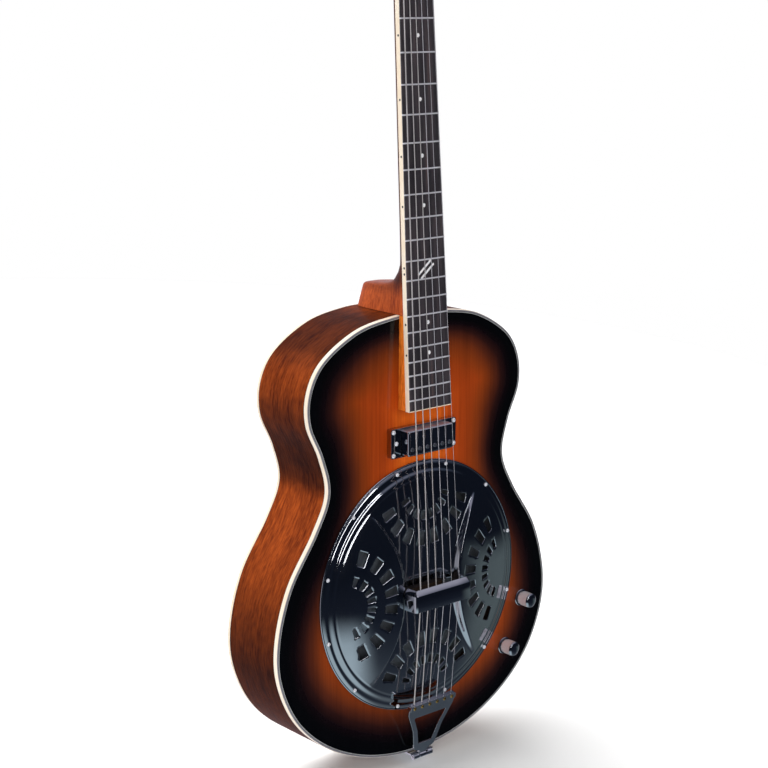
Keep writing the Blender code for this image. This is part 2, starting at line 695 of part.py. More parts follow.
# ---------------------------------------------------------------- tailpiece and end pin
def make_tailpiece():
    """A hinged plate from the bottom edge of the body up to the bar that holds the strings."""
    bottom = -BODY_BELOW_BRIDGE
    middle = BODY_DEPTH / 2
    plate_low = bottom - GAP - BRACKET_THICKNESS
    hinge = TAILPIECE_HINGE
    bracket = block("tailpiece_bracket", "chrome", (-BRACKET_HALF, hinge.y, plate_low),
                    (BRACKET_HALF, 62, bottom - GAP))
    gap_half = KNUCKLE_HALF + 2 * GAP
    for side in (-1, 1):
        knuckle = rod("knuckle", "chrome", KNUCKLE_RADIUS, hinge + Vector((gap_half * side, 0, 0)),
                      hinge + Vector((13 * side, 0, 0)))
        join(bracket, knuckle)
    cut(bracket, hinge_drill(),
        rod("cutter", "chrome", END_PIN_HOLE, (0, middle, bottom - 10), (0, middle, bottom + 10)),
        block("cutter", "chrome", (-gap_half, -10, plate_low - 5), (gap_half, 0, bottom + 5)))
    pin_half = Vector((13.5, 0, 0))
    rod("hinge_pin", "steel", HINGE_PIN_RADIUS, hinge - pin_half, hinge + pin_half, 12)

    lean = TAILPIECE_BAR - hinge
    length = lean.length
    turn = Matrix.Rotation(math.atan2(-lean.y, lean.z), 3, "X")
    facing = turn @ FACING_FRONT
    plate = flat_plate("tailpiece", "chrome",
                       [mirrored([(KNUCKLE_HALF, -1), (KNUCKLE_HALF, 6), (14, 10), (20, 34),
                                  (TAILPIECE_HALF, length - 8), (TAILPIECE_HALF, length)]),
                        mirrored([(6, 16), (9, 16), (14, 34), (22, length - 14), (6, length - 14)])],
                       -0.9, 0.9, hinge, facing)
    bar = block("bar", "chrome", (-TAILPIECE_HALF, -2.6, -3.5), (TAILPIECE_HALF, 2.6, 3.5),
                TAILPIECE_BAR, turn)
    knuckle_half = Vector((KNUCKLE_HALF, 0, 0))
    knuckle = rod("knuckle", "chrome", KNUCKLE_RADIUS, hinge - knuckle_half, hinge + knuckle_half)
    join(plate, bar, knuckle)
    cut(plate, hinge_drill())
    face = -BODY_BELOW_BRIDGE - END_PIN_LENGTH
    turned("end_pin", "chrome",
           [(0, face), (9, face), (9, face + 2.6), (5, face + 5), (5, plate_low - GAP),
            (3.6, plate_low - GAP), (3.0, -156), (0, -156)],
           (0, middle, 0), FACING_UP, 16)


def hinge_drill():
    reach = Vector((20, 0, 0))
    return rod("cutter", "chrome", HINGE_PIN_RADIUS + GAP, TAILPIECE_HINGE - reach,
               TAILPIECE_HINGE + reach, 12)


# ---------------------------------------------------------------- pickup and controls
def make_pickup():
    """A chromed pickup in a raised surround. Cover, coils and poles move together."""
    z = PICKUP_Z
    flat_plate("pickup_surround", "chrome",
               [centred(z, *PICKUP_PLATE_HALF), centred(z, *PICKUP_HOLE_HALF)], -7, -GAP)
    half_x, half_z = PICKUP_COVER_HALF
    front = PICKUP_FRONT
    cover = block("pickup_cover", "chrome", (-half_x, front, -half_z), (half_x, 4, half_z), (0, 0, z))
    inside = block("cutter", "chrome", (1 - half_x, front + 1, 1 - half_z),
                   (half_x - 1, 10, half_z - 1), (0, 0, z))
    cut(cover, inside, *pole_rods(POLE_HOLE, -25, -10))
    rail = block("pickup_pole_rail", "steel", (-28, 0, -9), (28, 3.6, -3), (0, 0, z))
    join(rail, *pole_rods(POLE_RADIUS, front - 0.7, 0.6))
    coil = block("pickup_coil", "black_plastic", (-28, front + 1.6, -11.4), (28, -0.5, 11.4), (0, 0, z))
    cut(coil, *pole_rods(POLE_HOLE, -20, 5))


def pole_rods(radius, front, back):
    """One rod per string, as long as the depths from front to back."""
    z = PICKUP_Z - POLE_DROP
    return [rod("pole", "steel", radius, (x, front, z), (x, back, z), 12)
            for x in (string_x(index, POLE_SPREAD) for index in range(len(STRING_NAMES)))]


def make_controls():
    """Two knobs on potentiometer shafts, and a jack in the treble side."""
    bore = SHAFT_RADIUS + GAP
    for name, (x, z) in KNOBS.items():
        place = (x, 0, z)
        turned(f"{name}_pot", "steel",
               [(0, -15), (12, -15), (12, -5), (4.6, -5), (4.6, 2.4), (bore, 2.4),
                (bore, -13.8), (0, -13.8)], place, FACING_FRONT, 16)
        turned(f"{name}_shaft", "aluminium",
               [(0, -13.4), (SHAFT_RADIUS, -13.4), (SHAFT_RADIUS, 13.4), (0, 13.4)],
               place, FACING_FRONT, 16)
        turned(f"{name}_knob", "chrome",
               [(0, 17), (6.6, 17), (7.3, 16.3), (KNOB_RADIUS, 15.4), (KNOB_RADIUS, 4.4),
                (7.2, 3.9), (7.2, 2.8), (bore, 2.8), (bore, 13.8), (0, 13.8)],
               place, FACING_FRONT, 20)
    side = max(x for x, _ in body_outline())
    turned("output_jack", "chrome",
           [(0, -31), (5.6, -31), (5.6, 0.4), (10.5, 0.4), (10.5, 2.2), (6, 3), (3.3, 3),
            (3.3, -29), (0, -29)],
           (side, JACK_Y, JACK_Z), FACING_TREBLE, 20)


# ---------------------------------------------------------------- tuners and strings
def make_tuners():
    """Three tuners on a plate for each side: a worm on each button's shaft turns a post's gear."""
    head_turn = Matrix.Rotation(-HEADSTOCK_ANGLE, 3, "X")
    across = {-1: head_turn @ Matrix.Rotation(math.radians(-90), 3, "Y"),
              1: head_turn @ Matrix.Rotation(math.radians(90), 3, "Y")}
    _, facing = headstock_frame()
    for side, side_name in ((-1, "bass"), (1, "treble")):
        make_tuner_plate(f"tuner_plate_{side_name}", side)
        for number, place in enumerate(POST_PLACES, 1):
            back = -GEAR_Y
            turned(f"tuner_post_{side_name}_{number}", "brass",
                   [(0, 17), (2.6, 17), (POST_RADIUS, 16.4), (POST_RADIUS, back + 2),
                    (GEAR_RADIUS, back + 2), (GEAR_RADIUS, back - 2), (2, back - 2),
                    (2, back - 3), (0, back - 3)],
                   head_point(side * POST_X, 0, place), facing, 16)
            thin = WORM_SHAFT_RADIUS
            worm = turned(f"tuner_button_{side_name}_{number}", "chrome",
                          [(0, 13), (thin, 13), (thin, 16.6), (WORM_RADIUS, 17.2),
                           (WORM_RADIUS, 27), (thin, 27.5), (thin, 46), (0, 46)],
                          head_point(0, GEAR_Y, place + WORM_OFFSET), across[side], 12)
            tool = bmesh.new()
            bmesh.ops.create_uvsphere(tool, u_segments=10, v_segments=6, radius=1)
            bmesh.ops.scale(tool, vec=BUTTON_HALF_SIZE, verts=tool.verts)
            button = placed(tool, "button", "chrome",
                            head_point(side * BUTTON_X, GEAR_Y, place + WORM_OFFSET), across[side])
            join(worm, button)
            smooth_round(worm)


def make_tuner_plate(name, side):
    """A strip on the back of the headstock with a pair of lugs for each worm shaft."""
    origin, turn = headstock_frame()
    low, high = HEADSTOCK_THICKNESS + GAP, HEADSTOCK_THICKNESS + 1.5
    inner, outer = sorted(side * x for x in TUNER_PLATE_X)
    start, end = TUNER_PLATE_ALONG
    plate = flat_plate(name, "chrome", [rectangle(inner, start, outer, end)], low, high,
                       origin, turn)
    flat = Matrix.Rotation(-HEADSTOCK_ANGLE, 3, "X")
    cutters = []
    for place in POST_PLACES:
        for near, far in TUNER_LUGS:
            x_low, x_high = sorted((side * near, side * far))
            lug = block("lug", "chrome", (x_low, high - 0.6, -3.0), (x_high, GEAR_Y + 3, 3.0),
                        head_point(0, 0, place + WORM_OFFSET), flat)
            join(plate, lug)
        axle = place + WORM_OFFSET
        cutters.append(rod("cutter", "chrome", WORM_SHAFT_RADIUS + GAP,
                           head_point(side * 10, GEAR_Y, axle),
                           head_point(side * 35, GEAR_Y, axle), 8))
        cutters.append(rod("cutter", "chrome", POST_RADIUS + 0.5,
                           head_point(side * POST_X, 10, place),
                           head_point(side * POST_X, 20, place), 12))
    cut(plate, *cutters)


def make_strings():
    """Six strings, each from the tailpiece over the saddle and the nut to its post."""
    for index, (name, radius) in enumerate(zip(STRING_NAMES, STRING_RADII)):
        side = -1 if index < 3 else 1
        place = POST_PLACES[index if index < 3 else 5 - index]
        post = head_point(side * (POST_X - POST_RADIUS - radius - 0.4), -8, place)
        start = TAILPIECE_BAR + Vector((string_x(index, STRING_SPREAD_SADDLE - 2), -1, 4))
        wire(f"string_{name}", "bronze" if index < 3 else "steel", radius,
             [start, (string_x(index, STRING_SPREAD_SADDLE), STRING_Y_AT_SADDLE, 0),
              (string_x(index, STRING_SPREAD_NUT), STRING_Y_AT_NUT, SCALE_LENGTH + NUT_LENGTH), post])


clear_scene()
MATERIALS = make_materials()
PARTS = collection("resonator_guitar")
make_body()
make_neck()
make_fretboard()
make_neck_fittings()
make_resonator()
make_tailpiece()
make_pickup()
make_controls()
make_tuners()
make_strings()
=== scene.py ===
"""The looks of the resonator guitar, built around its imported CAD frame.

Places are in guitar millimetres, as in the CAD part: x to the treble side from the centre line,
y into the body from the soundboard's front face, z up the neck from the saddle line.
"""

import math

import bmesh
import bpy
import numpy as np
from mathutils import Matrix, Vector
from mathutils.geometry import delaunay_2d_cdt


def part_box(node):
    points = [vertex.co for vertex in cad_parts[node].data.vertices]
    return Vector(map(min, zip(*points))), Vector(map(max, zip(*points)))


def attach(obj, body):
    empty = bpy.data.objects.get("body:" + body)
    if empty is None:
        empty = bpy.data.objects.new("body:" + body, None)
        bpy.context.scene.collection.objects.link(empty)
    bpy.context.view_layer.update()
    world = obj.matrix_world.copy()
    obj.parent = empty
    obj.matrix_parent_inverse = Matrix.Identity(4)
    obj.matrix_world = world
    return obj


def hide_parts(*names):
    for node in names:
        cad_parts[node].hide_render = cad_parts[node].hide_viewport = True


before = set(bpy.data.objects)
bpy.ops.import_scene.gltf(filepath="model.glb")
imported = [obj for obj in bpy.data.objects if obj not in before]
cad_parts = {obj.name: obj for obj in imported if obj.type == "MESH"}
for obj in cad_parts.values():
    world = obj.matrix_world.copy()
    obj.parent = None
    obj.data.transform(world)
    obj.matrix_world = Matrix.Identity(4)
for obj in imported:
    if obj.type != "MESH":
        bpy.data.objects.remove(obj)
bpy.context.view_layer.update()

# ---------------------------------------------------------------- dimensions
MM = 0.001
SADDLE_Z = sum(corner.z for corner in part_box("saddle")) / 2     # the origin of z, in metres
TOP_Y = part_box("top_plate")[0].y                                # and of y
BODY_DEPTH = (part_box("back_plate")[1].y - TOP_Y) / MM
SCALE_LENGTH = 635.0
BODY_TOP = 283.0
BODY_BELOW_BRIDGE = 178.0
END_PIN_LENGTH = 12.0
SIDES = ((-1, "bass"), (1, "treble"))
GAP = 0.3                    # between neighbours that the CAD keeps apart

RIM_THICKNESS = 2.4
BINDING_WIDTH = 2.0
TOP_BINDING_HEIGHT = 5.0
BACK_BINDING_HEIGHT = 3.8
LINE_WIDTH = 0.5             # each of the three lines between the binding and the soundboard
LINE_DEPTH = 1.5
FLUSH = 0.02                 # how far a line or plate lies below its neighbour's face

FRETS = 20
BOARD_END = SCALE_LENGTH * 2 ** (-21 / 12)  # where the next fret would be
BOARD_THICKNESS = 6.0
BOARD_NUT_HALF = 21.5
BOARD_TWELFTH_HALF = 26.25
BOARD_CAMBER = 0.45          # how far the board's edges lie behind its middle
BOARD_BINDING = 0.9
NECK_SLOPE = 0.0552
BOARD_Y_AT_BODY = -12.2
DOT_FRETS = (3, 5, 7, 9, 15, 17)
INLAY_TILT = math.radians(38)

HEADSTOCK_ORIGIN = Vector((0, 14.3, 641.5))
HEADSTOCK_ANGLE = math.radians(14)
HEADSTOCK_THICKNESS = 15.0
HEADSTOCK_FOOT = (641.0, 652.0)             # the shaft turns into the headstock between these
HEADSTOCK_FOOT_HALF = 20.5
HEADSTOCK_FOOT_Y = 19.0
VENEER = 1.5
POST_PLACES = (45.0, 81.0, 117.0)
TUNER_SCREW_PLACES = (37.0, 72.0, 108.0, 139.5)
POST_X = 22.0
POST_RADIUS = 3.0
WRAP_HEIGHT = 8.0            # of the string's outermost turn round its post, above the face
GEAR_RADIUS = 6.3
GEAR_TEETH = 15
WORM_RADIUS = 3.0
WORM_PITCH = 2.6
GEAR_Y = HEADSTOCK_THICKNESS + 5.0
WORM_OFFSET = GEAR_RADIUS + WORM_RADIUS + GAP

PLATE_CENTRE_Z = 2.0
COVER_RADIUS = 131.0
COVER_CREASE = 115.0
COVER_FOOT = 2.2
COVER_CREASE_HEIGHT = 7.0
VALLEY_RISE = 7.2            # the strings' valley, above the crease
FIELD_RISE = 6.8             # the fields beside the valley, above it
VALLEY_HALF = 34.5           # the valley's half width at the plate's centre
VALLEY_FLARE = 0.0045        # what it gains, times the square of the distance from there
WALL_WIDTH = 5.0
ROLL_WIDTH = 8.0
ROLL_START = 2.5
ROLL_DEPTH = 0.34
FAN_DISTANCE = 105.0
FAN_ARCS = ((44.5, 59.5), (23.5, 33.0))     # a row of slots lies between each pair of radii
FAN_SLOTS = 8
FAN_SPREAD = math.radians(68)
SLOT_ANGLE = math.radians(9.2)
SADDLE_WINDOW = (32.0, 6.0)  # half its width and half its height
COVER_SCREWS = 12
COVER_SCREW_CIRCLE = 126.5
SOUNDWELL_HOLE = 124.0
CONTROL_HOLE = 5.0
CONE_RADIUS = 120.5
CONE_SHOULDER = 108.2
CONE_TOP = 22.0
CONE_SHEET = 0.7
CONE_LEDGE_Y = 14.0
CONE_APEX_Y = -6.0
PALM_REST_Y = -38.0

STRING_Y_AT_SADDLE = -32.0
STRING_Y_AT_NUT = 5.4
NUT_CREST_Z = 639.8          # where the strings leave the nut for the headstock
STRING_SPREAD_SADDLE = 53.0
STRING_SPREAD_NUT = 35.4
STRING_RADII = (0.66, 0.53, 0.42, 0.33, 0.22, 0.18)
STRING_NAMES = ("e_low", "a", "d", "g", "b", "e_high")
WOUND_STRINGS = 3
TAILPIECE_HINGE = Vector((0, -4.5, -182.0))
TAILPIECE_BAR = Vector((0, -20.0, -119.0))
TAILPIECE_SPREAD = STRING_SPREAD_SADDLE - 2

PICKUP_Z = 157.0
PICKUP_OPENING = (31.6, 14.6)               # these four are half widths and half heights
PICKUP_PLATE = (43.2, 15.0)
PLATE_WINDOW = (30.6, 13.6)
PICKUP_COVER = (30.0, 13.0)
PICKUP_FACE = -18.0
POLE_SPREAD = 50.0
PLATE_FACE = -7.0            # of the plate round the pickup
PLATE_SCREW_X = 40.2
PLATE_SCREW_UP = 11.8
HEIGHT_SCREW_X = 36.6
KNOBS = {"volume": (147.5, -46.4), "tone": (123.0, -95.0)}
KNOB_RADIUS = 7.75
KNOB_TEETH = 44
JACK_Z = -38.0

# half the body's outline, from the end pin to the neck
BODY_SIDE = ((0, -178), (62, -169.5), (117, -145), (157.5, -108), (179.3, -62), (181.5, -18),
             (166, 34), (134, 83), (118, 119), (125.5, 155), (140.5, 190), (139, 222),
             (121, 250), (80, 273.5), (36, 282), (0, 283))
BODY_STEPS = 10              # between two points of BODY_SIDE
OUTLINE_SLACK = 0.04         # keeps this smooth outline inside the CAD's coarser one
# painted light and shade along the side: how far round it from the end pin to the neck, and how light
# it is painted there
RIM_PAINTED_SHADE = ((0.0, 0.3), (0.2, 0.2), (0.34, 0.09), (0.39, 0.19), (0.42, 0.27), (0.47, 0.47),
             (0.51, 0.54), (0.58, 0.66), (0.6, 0.58), (0.62, 0.17), (0.65, 0.095), (0.69, 0.11),
             (0.73, 0.24), (0.76, 0.45), (0.79, 0.48), (0.83, 0.17), (0.88, 0.155), (0.92, 0.09),
             (0.96, 0.26), (1.0, 0.27))
# half the headstock's outline: x, and the distance from the nut
HEADSTOCK_SIDE = ((21.2, -1), (22.5, 8), (31.5, 26), (33, 60), (35.5, 140), (33, 152),
                  (20, 156), (8, 161), (0, 162))
# z, depth and squareness of the neck's sections, from the heel to the headstock
NECK_SECTIONS = ((283.3, 81.5, 7), (300, 80.2, 6), (305.5, 78.5, 5), (307.5, 68, 4), (309.5, 49, 4),
                 (312, 35, 3.6), (315, 27.5, 3.2), (320, 22.5, 2.8), (328, 18.2, 2.1),
                 (345, 16.0, 1.75), (430, 15.4, 1.7), (520, 14.8, 1.7), (600, 14.4, 1.75),
                 (628, 14.4, 2.0), (641, 15.2, 2.8), (652, 11.0, 3))
HEEL_TAPER_FOOT = 0.15       # how much narrower the heel's back is than its front, at the body
HEEL_TAPER_TOP = 0.45        # and where the heel ends
HEEL_HEIGHT = 22.0

FACING_UP = Matrix.Identity(3)
FACING_FRONT = Matrix.Rotation(math.radians(90), 3, "X")     # local z turned to -Y
FACING_TREBLE = Matrix.Rotation(math.radians(90), 3, "Y")    # local z turned to +X
FACING_BASS = Matrix.Rotation(math.radians(-90), 3, "Y")     # local z turned to -X
HEAD_TURN = Matrix.Rotation(-HEADSTOCK_ANGLE, 3, "X")
NECK_TURN = Matrix.Rotation(-math.atan(NECK_SLOPE), 3, "X")


def to_world(point):
    """A point in guitar millimetres as Blender metres."""
    x, y, z = point
    return Vector((x * MM, TOP_Y + y * MM, SADDLE_Z + z * MM))


def at(origin, turn=FACING_UP):
    """The placing of a shape made about its own origin, in guitar millimetres."""
    return Matrix.Translation(Vector(origin)) @ turn.to_4x4()


HERE = at((0, 0, 0))


# ---------------------------------------------------------------- materials
def srgb(red, green, blue):
    """A colour given as it looks on a screen, 0 to 255, as linear values."""
    def linear(value):
        value /= 255
        return value / 12.92 if value < 0.04045 else ((value + 0.055) / 1.055) ** 2.4
    return (linear(red), linear(green), linear(blue), 1)


def scaled(colour, times, plus=0.0):
    """A lighter or darker colour."""
    return tuple(min(value * times + plus, 1.0) for value in colour[:3]) + (1,)


class Recipe:
    """The node tree of a material or a world, written node by node."""

    def __init__(self, owner):
        owner.use_nodes = True
        self.owner = owner
        self.tree = owner.node_tree

    def fill(self, node, inputs):
        for key, value in inputs.items():
            if isinstance(value, bpy.types.NodeSocket):
                self.tree.links.new(value, node.inputs[key])
            else:
                node.inputs[key].default_value = value

    def node(self, kind, inputs, **settings):
        made = self.tree.nodes.new("ShaderNode" + kind)
        for key, value in settings.items():
            setattr(made, key, value)
        self.fill(made, inputs)
        return made

    def stretched(self, where, stretch):
        """Coordinates, each multiplied by its stretch."""
        return self.node("Mapping", {"Vector": where, "Scale": stretch}).outputs["Vector"]

    def place(self, stretch=(1, 1, 1)):
        """Object coordinates in metres, each multiplied by its stretch."""
        return self.stretched(self.node("TexCoord", {}).outputs["Object"], stretch)

    def split(self, where=None):
        """The three parts of a vector, or of the place."""
        return self.node("SeparateXYZ", {"Vector": where or self.place()}).outputs

    def vector(self, *parts):
        return self.node("CombineXYZ", dict(enumerate(parts))).outputs[0]

    def attribute(self, name, output="Vector"):
        return self.node("Attribute", {}, attribute_name=name).outputs[output]

    def noise(self, where, scale, detail=3.0, distortion=0.0):
        return self.node("TexNoise", {"Vector": where, "Scale": scale, "Detail": detail,
                                      "Distortion": distortion}).outputs["Fac"]

    def ramp(self, factor, stops):
        node = self.node("ValToRGB", {"Fac": factor})
        elements = node.color_ramp.elements
        elements.remove(elements[1])
        elements[0].position, elements[0].color = stops[0]
        for position, colour in stops[1:]:
            elements.new(position).color = colour
        return node.outputs["Color"]

    def mix(self, factor, first, second, blend="MIX"):
        node = self.node("Mix", {0: factor, 6: first, 7: second}, data_type="RGBA",
                         blend_type=blend)
        return node.outputs[2]

    def math(self, operation, first, second=0.0):
        return self.node("Math", {0: first, 1: second}, operation=operation).outputs[0]

    def spread(self, value, low, high, to_low=0.0, to_high=1.0):
        """The value carried from one range to another, and kept inside it."""
        return self.node("MapRange", {"Value": value, "From Min": low, "From Max": high,
                                      "To Min": to_low, "To Max": to_high}).outputs["Result"]

    def bump(self, height, depth, normal=None, strength=1.0):
        """Relief of a depth in metres."""
        inputs = {"Height": height, "Distance": depth, "Strength": strength}
        if normal is not None:
            inputs["Normal"] = normal
        return self.node("Bump", inputs).outputs["Normal"]

    def finish(self, colour, roughness, normal=None, **more):
        """The finished material; more names the shader's inputs, with _ for a space."""
        inputs = {"Base Color": colour, "Roughness": roughness}
        if normal is not None:
            inputs["Normal"] = normal
        inputs.update({key.replace("_", " "): value for key, value in more.items()})
        self.fill(self.tree.nodes["Principled BSDF"], inputs)
        return self.owner


def recipe(name):
    """The recipe of a new material."""
    return Recipe(bpy.data.materials.new(name))


BURST = (                    # distance from the body's edge in mm, colour
    (0, srgb(3, 4, 6)), (13, srgb(4, 4, 6)), (21, srgb(14, 6, 9)), (29, srgb(38, 16, 14)),
    (38, srgb(74, 31, 16)), (46, srgb(102, 42, 14)), (54, srgb(124, 50, 13)),
    (62, srgb(140, 54, 13)), (78, srgb(154, 58, 14)), (94, srgb(170, 66, 16)),
    (110, srgb(205, 92, 24)))
BURST_SPAN = BURST[-1][0]
WAIST_NARROWING = (112.0, 62.0, 0.22)       # of the dark rim: where, over what height, how much
SHOULDER_NARROWING = (268.0, 34.0, 0.5)
BASS_WIDENING = 0.12


def sunburst_material():
    """Spruce under a shaded finish, black at the edge and amber in the middle."""
    r = recipe("sunburst_lacquer")
    distance = r.attribute("edge_distance", "Fac")
    cloud = r.noise(r.place(), 9.0, 2.0)
    shifted = r.math("ADD", distance, r.spread(cloud, 0.3, 0.7, -3.0, 3.0))
    base = r.ramp(r.spread(shifted, 0.0, BURST_SPAN),
                  [(place / BURST_SPAN, colour) for place, colour in BURST])
    grain = r.noise(r.place((1, 1, 0.02)), 620.0, 2.0)
    wide = r.noise(r.place((1, 1, 0.03)), 110.0, 2.0)
    lines = r.math("MULTIPLY", r.spread(grain, 0.35, 0.7, 0.86, 1.06),
                   r.spread(wide, 0.3, 0.7, 0.9, 1.08))
    colour = r.mix(1.0, base, lines, "MULTIPLY")
    relief = r.bump(grain, 0.00001)
    return r.finish(colour, r.spread(cloud, 0.3, 0.7, 0.4, 0.5), relief, Coat_Weight=0.6,
                    Coat_Roughness=0.09, Coat_IOR=1.4, Specular_IOR_Level=0.03)


def mahogany_material(name, along, dark, light, coat=0.35, dress=None):
    """Ribbon-figured mahogany with open pores, under gloss lacquer. `along` makes its coordinates,
    with the grain along their first axis; `dress` changes the wood's colour at the end."""
    r = recipe(name)
    where = along(r)
    ribbon = r.noise(r.stretched(where, (10.0, 75.0, 75.0)), 1.0, 2.0, 0.3)
    fleck = r.noise(r.stretched(where, (85.0, 420.0, 420.0)), 1.0, 2.0)
    fibre = r.noise(r.stretched(where, (110.0, 1300.0, 1300.0)), 1.0, 2.0)
    pores = r.noise(r.stretched(where, (240.0, 2600.0, 2600.0)), 1.0, 1.0)
    shade = r.math("ADD", r.math("MULTIPLY", ribbon, 0.36), r.math("MULTIPLY", fibre, 0.22))
    shade = r.math("ADD", shade, r.math("MULTIPLY", fleck, 0.42))
    middle = tuple(a * 0.55 + b * 0.45 for a, b in zip(dark, light))
    base = r.ramp(r.spread(shade, 0.36, 0.62), [(0.0, dark), (0.45, middle), (1.0, light)])
    pits = r.spread(pores, 0.62, 0.7)
    colour = r.mix(r.math("MULTIPLY", pits, 0.45), base, scaled(dark, 0.35))
    if dress:
        colour = dress(r, colour)
    relief = r.bump(fibre, 0.00001, r.bump(pits, -0.00003))
    return r.finish(colour, r.spread(fibre, 0.3, 0.7, 0.45, 0.6), relief, Coat_Weight=coat,
                    Coat_Roughness=0.1, Coat_IOR=1.4, Specular_IOR_Level=0.02)


def along_z(r):
    """Coordinates with z first, for grain that runs up the instrument."""
    x, y, z = r.split()
    return r.vector(z, x, y)


def along_rim(r):
    """Coordinates that follow the bent side, which make_sides stores on its mesh."""
    return r.attribute("grain")


def bookmatched(r):
    """Coordinates with z first, mirrored about the centre line."""
    x, y, z = r.split()
    return r.vector(z, r.math("ABSOLUTE", x), y)


def rim_painted_shade(r, colour):
    """Painted light and shade: lighter and darker along the side, as make_sides stores it on its
    mesh.
    """
    return r.mix(1.0, colour, r.attribute("painted_shade", "Fac"), "MULTIPLY")


def neck_painted_shade(r, colour):
    """Painted shade: light on the heel and dark along the shaft."""
    heel_end = SADDLE_Z + (BODY_TOP + HEEL_HEIGHT) * MM
    # painted shade: full colour on the heel, darkened to 0.16 of it along the shaft
    light = r.spread(r.split()[2], heel_end - 0.006, heel_end + 0.012, 1.0, 0.16)
    return r.mix(1.0, colour, light, "MULTIPLY")


def centre_strip(r, colour):
    """A strip of light and dark checks between two black lines, down the back's middle."""
    across = r.math("ABSOLUTE", r.split()[0])
    checks = r.node("TexChecker", {"Vector": r.place(), "Scale": 420.0,
                                   "Color1": srgb(206, 178, 128), "Color2": srgb(60, 30, 18)})
    strip = r.mix(r.math("GREATER_THAN", across, 0.0021), checks.outputs["Color"],
                  srgb(24, 18, 16))
    return r.mix(r.math("LESS_THAN", across, 0.003), colour, strip)


def plain_wood_material(name, dark, light, roughness=0.6):
    """Unfinished wood inside the body."""
    r = recipe(name)
    grain = r.noise(r.stretched(along_z(r), (12, 420, 420)), 1.0, 4.0)
    colour = r.ramp(r.spread(grain, 0.3, 0.7), [(0.0, dark), (1.0, light)])
    return r.finish(colour, roughness, r.bump(grain, 0.00004))


def rosewood_material():
    """Very dark open-pored board wood with brown streaks, oiled."""
    r = recipe("rosewood_oiled")
    streak = r.noise(r.place((170.0, 170.0, 7.0)), 1.0, 4.0, 0.4)
    fibre = r.noise(r.place((1500.0, 1500.0, 60.0)), 1.0, 2.0)
    pores = r.noise(r.place((2100.0, 2100.0, 150.0)), 1.0, 1.0)
    base = r.ramp(r.spread(streak, 0.3, 0.72),
                  [(0.0, srgb(32, 29, 33)), (0.5, srgb(48, 43, 48)), (0.8, srgb(62, 54, 58)),
                   (1.0, srgb(78, 62, 62))])
    pits = r.spread(pores, 0.58, 0.68)
    colour = r.mix(r.math("MULTIPLY", pits, 0.6), base, srgb(14, 10, 10))
    relief = r.bump(pits, -0.00006, r.bump(fibre, 0.00002))
    return r.finish(colour, r.spread(fibre, 0.3, 0.7, 0.36, 0.5), relief,
                    Specular_IOR_Level=0.45)


def binding_material(name, colour, age, front=None):
    """Celluloid, warmer where lacquer has pooled and faintly grained; front, when given, is painted
    shade on the faces that look forward.
    """
    r = recipe(name)
    cloud = r.noise(r.place(), 40.0, 3.0)
    streak = r.noise(r.place((1400.0, 300.0, 20.0)), 1.0, 2.0)
    base = r.mix(r.spread(cloud, 0.35, 0.75, 0.0, 0.6), colour, age)
    base = r.mix(r.spread(streak, 0.5, 0.8, 0.0, 0.2), base, age)
    if front:
        # painted shade: faces that look forward take the front colour
        facing = r.split(r.node("NewGeometry", {}).outputs["Normal"])
        base = r.mix(r.spread(facing[1], -0.6, -0.85), base, front)
    return r.finish(base, r.spread(cloud, 0.3, 0.7, 0.22, 0.34), r.bump(streak, 0.000008),
                    Coat_Weight=0.6, Coat_Roughness=0.06)


def plastic_material(name, colour, roughness=0.35):
    """Moulded plastic, finely pitted and a little paler where it is worn."""
    r = recipe(name)
    speckle = r.noise(r.place(), 2400.0, 2.0)
    wear = r.noise(r.place(), 60.0, 4.0)
    base = r.mix(r.spread(wear, 0.5, 0.8, 0.0, 0.25), colour, scaled(colour, 1.6, 0.01))
    return r.finish(base, r.spread(wear, 0.3, 0.7, roughness - 0.06, roughness + 0.08),
                    r.bump(speckle, 0.000006))


def plated_material(name, colour, roughness=0.06, polish=0.00001, tarnish=None, metallic=1.0):
    """Plated metal: fine polishing marks, faint haze and a slightly darker tone in patches."""
    r = recipe(name)
    haze = r.noise(r.place(), 26.0, 4.0)
    marks = r.noise(r.place((900.0, 900.0, 160.0)), 1.0, 3.0)
    base = r.mix(r.spread(haze, 0.4, 0.75, 0.0, 0.7), colour, tarnish or scaled(colour, 0.82))
    rough = r.math("ADD", r.spread(haze, 0.4, 0.8, roughness, roughness + 0.05),
                   r.spread(marks, 0.45, 0.8, 0.0, 0.03))
    return r.finish(base, rough, r.bump(marks, polish, strength=0.4), Metallic=metallic)


def spun_material():
    """Spun aluminium: fine rings around the cone's axis."""
    r = recipe("spun_aluminium")
    x, _, z = r.split()
    up = r.math("SUBTRACT", z, SADDLE_Z + PLATE_CENTRE_Z * MM)
    rings = r.vector(r.math("SQRT", r.math("ADD", r.math("MULTIPLY", x, x),
                                           r.math("MULTIPLY", up, up))))
    fine = r.noise(rings, 1500.0, 3.0)
    broad = r.noise(rings, 160.0, 2.0)
    colour = r.mix(r.spread(broad, 0.3, 0.7), srgb(126, 134, 144), srgb(170, 176, 184))
    relief = r.bump(fine, 0.00006)
    return r.finish(colour, r.spread(fine, 0.3, 0.7, 0.24, 0.42), relief, Metallic=0.85,
                    Anisotropic=0.4)


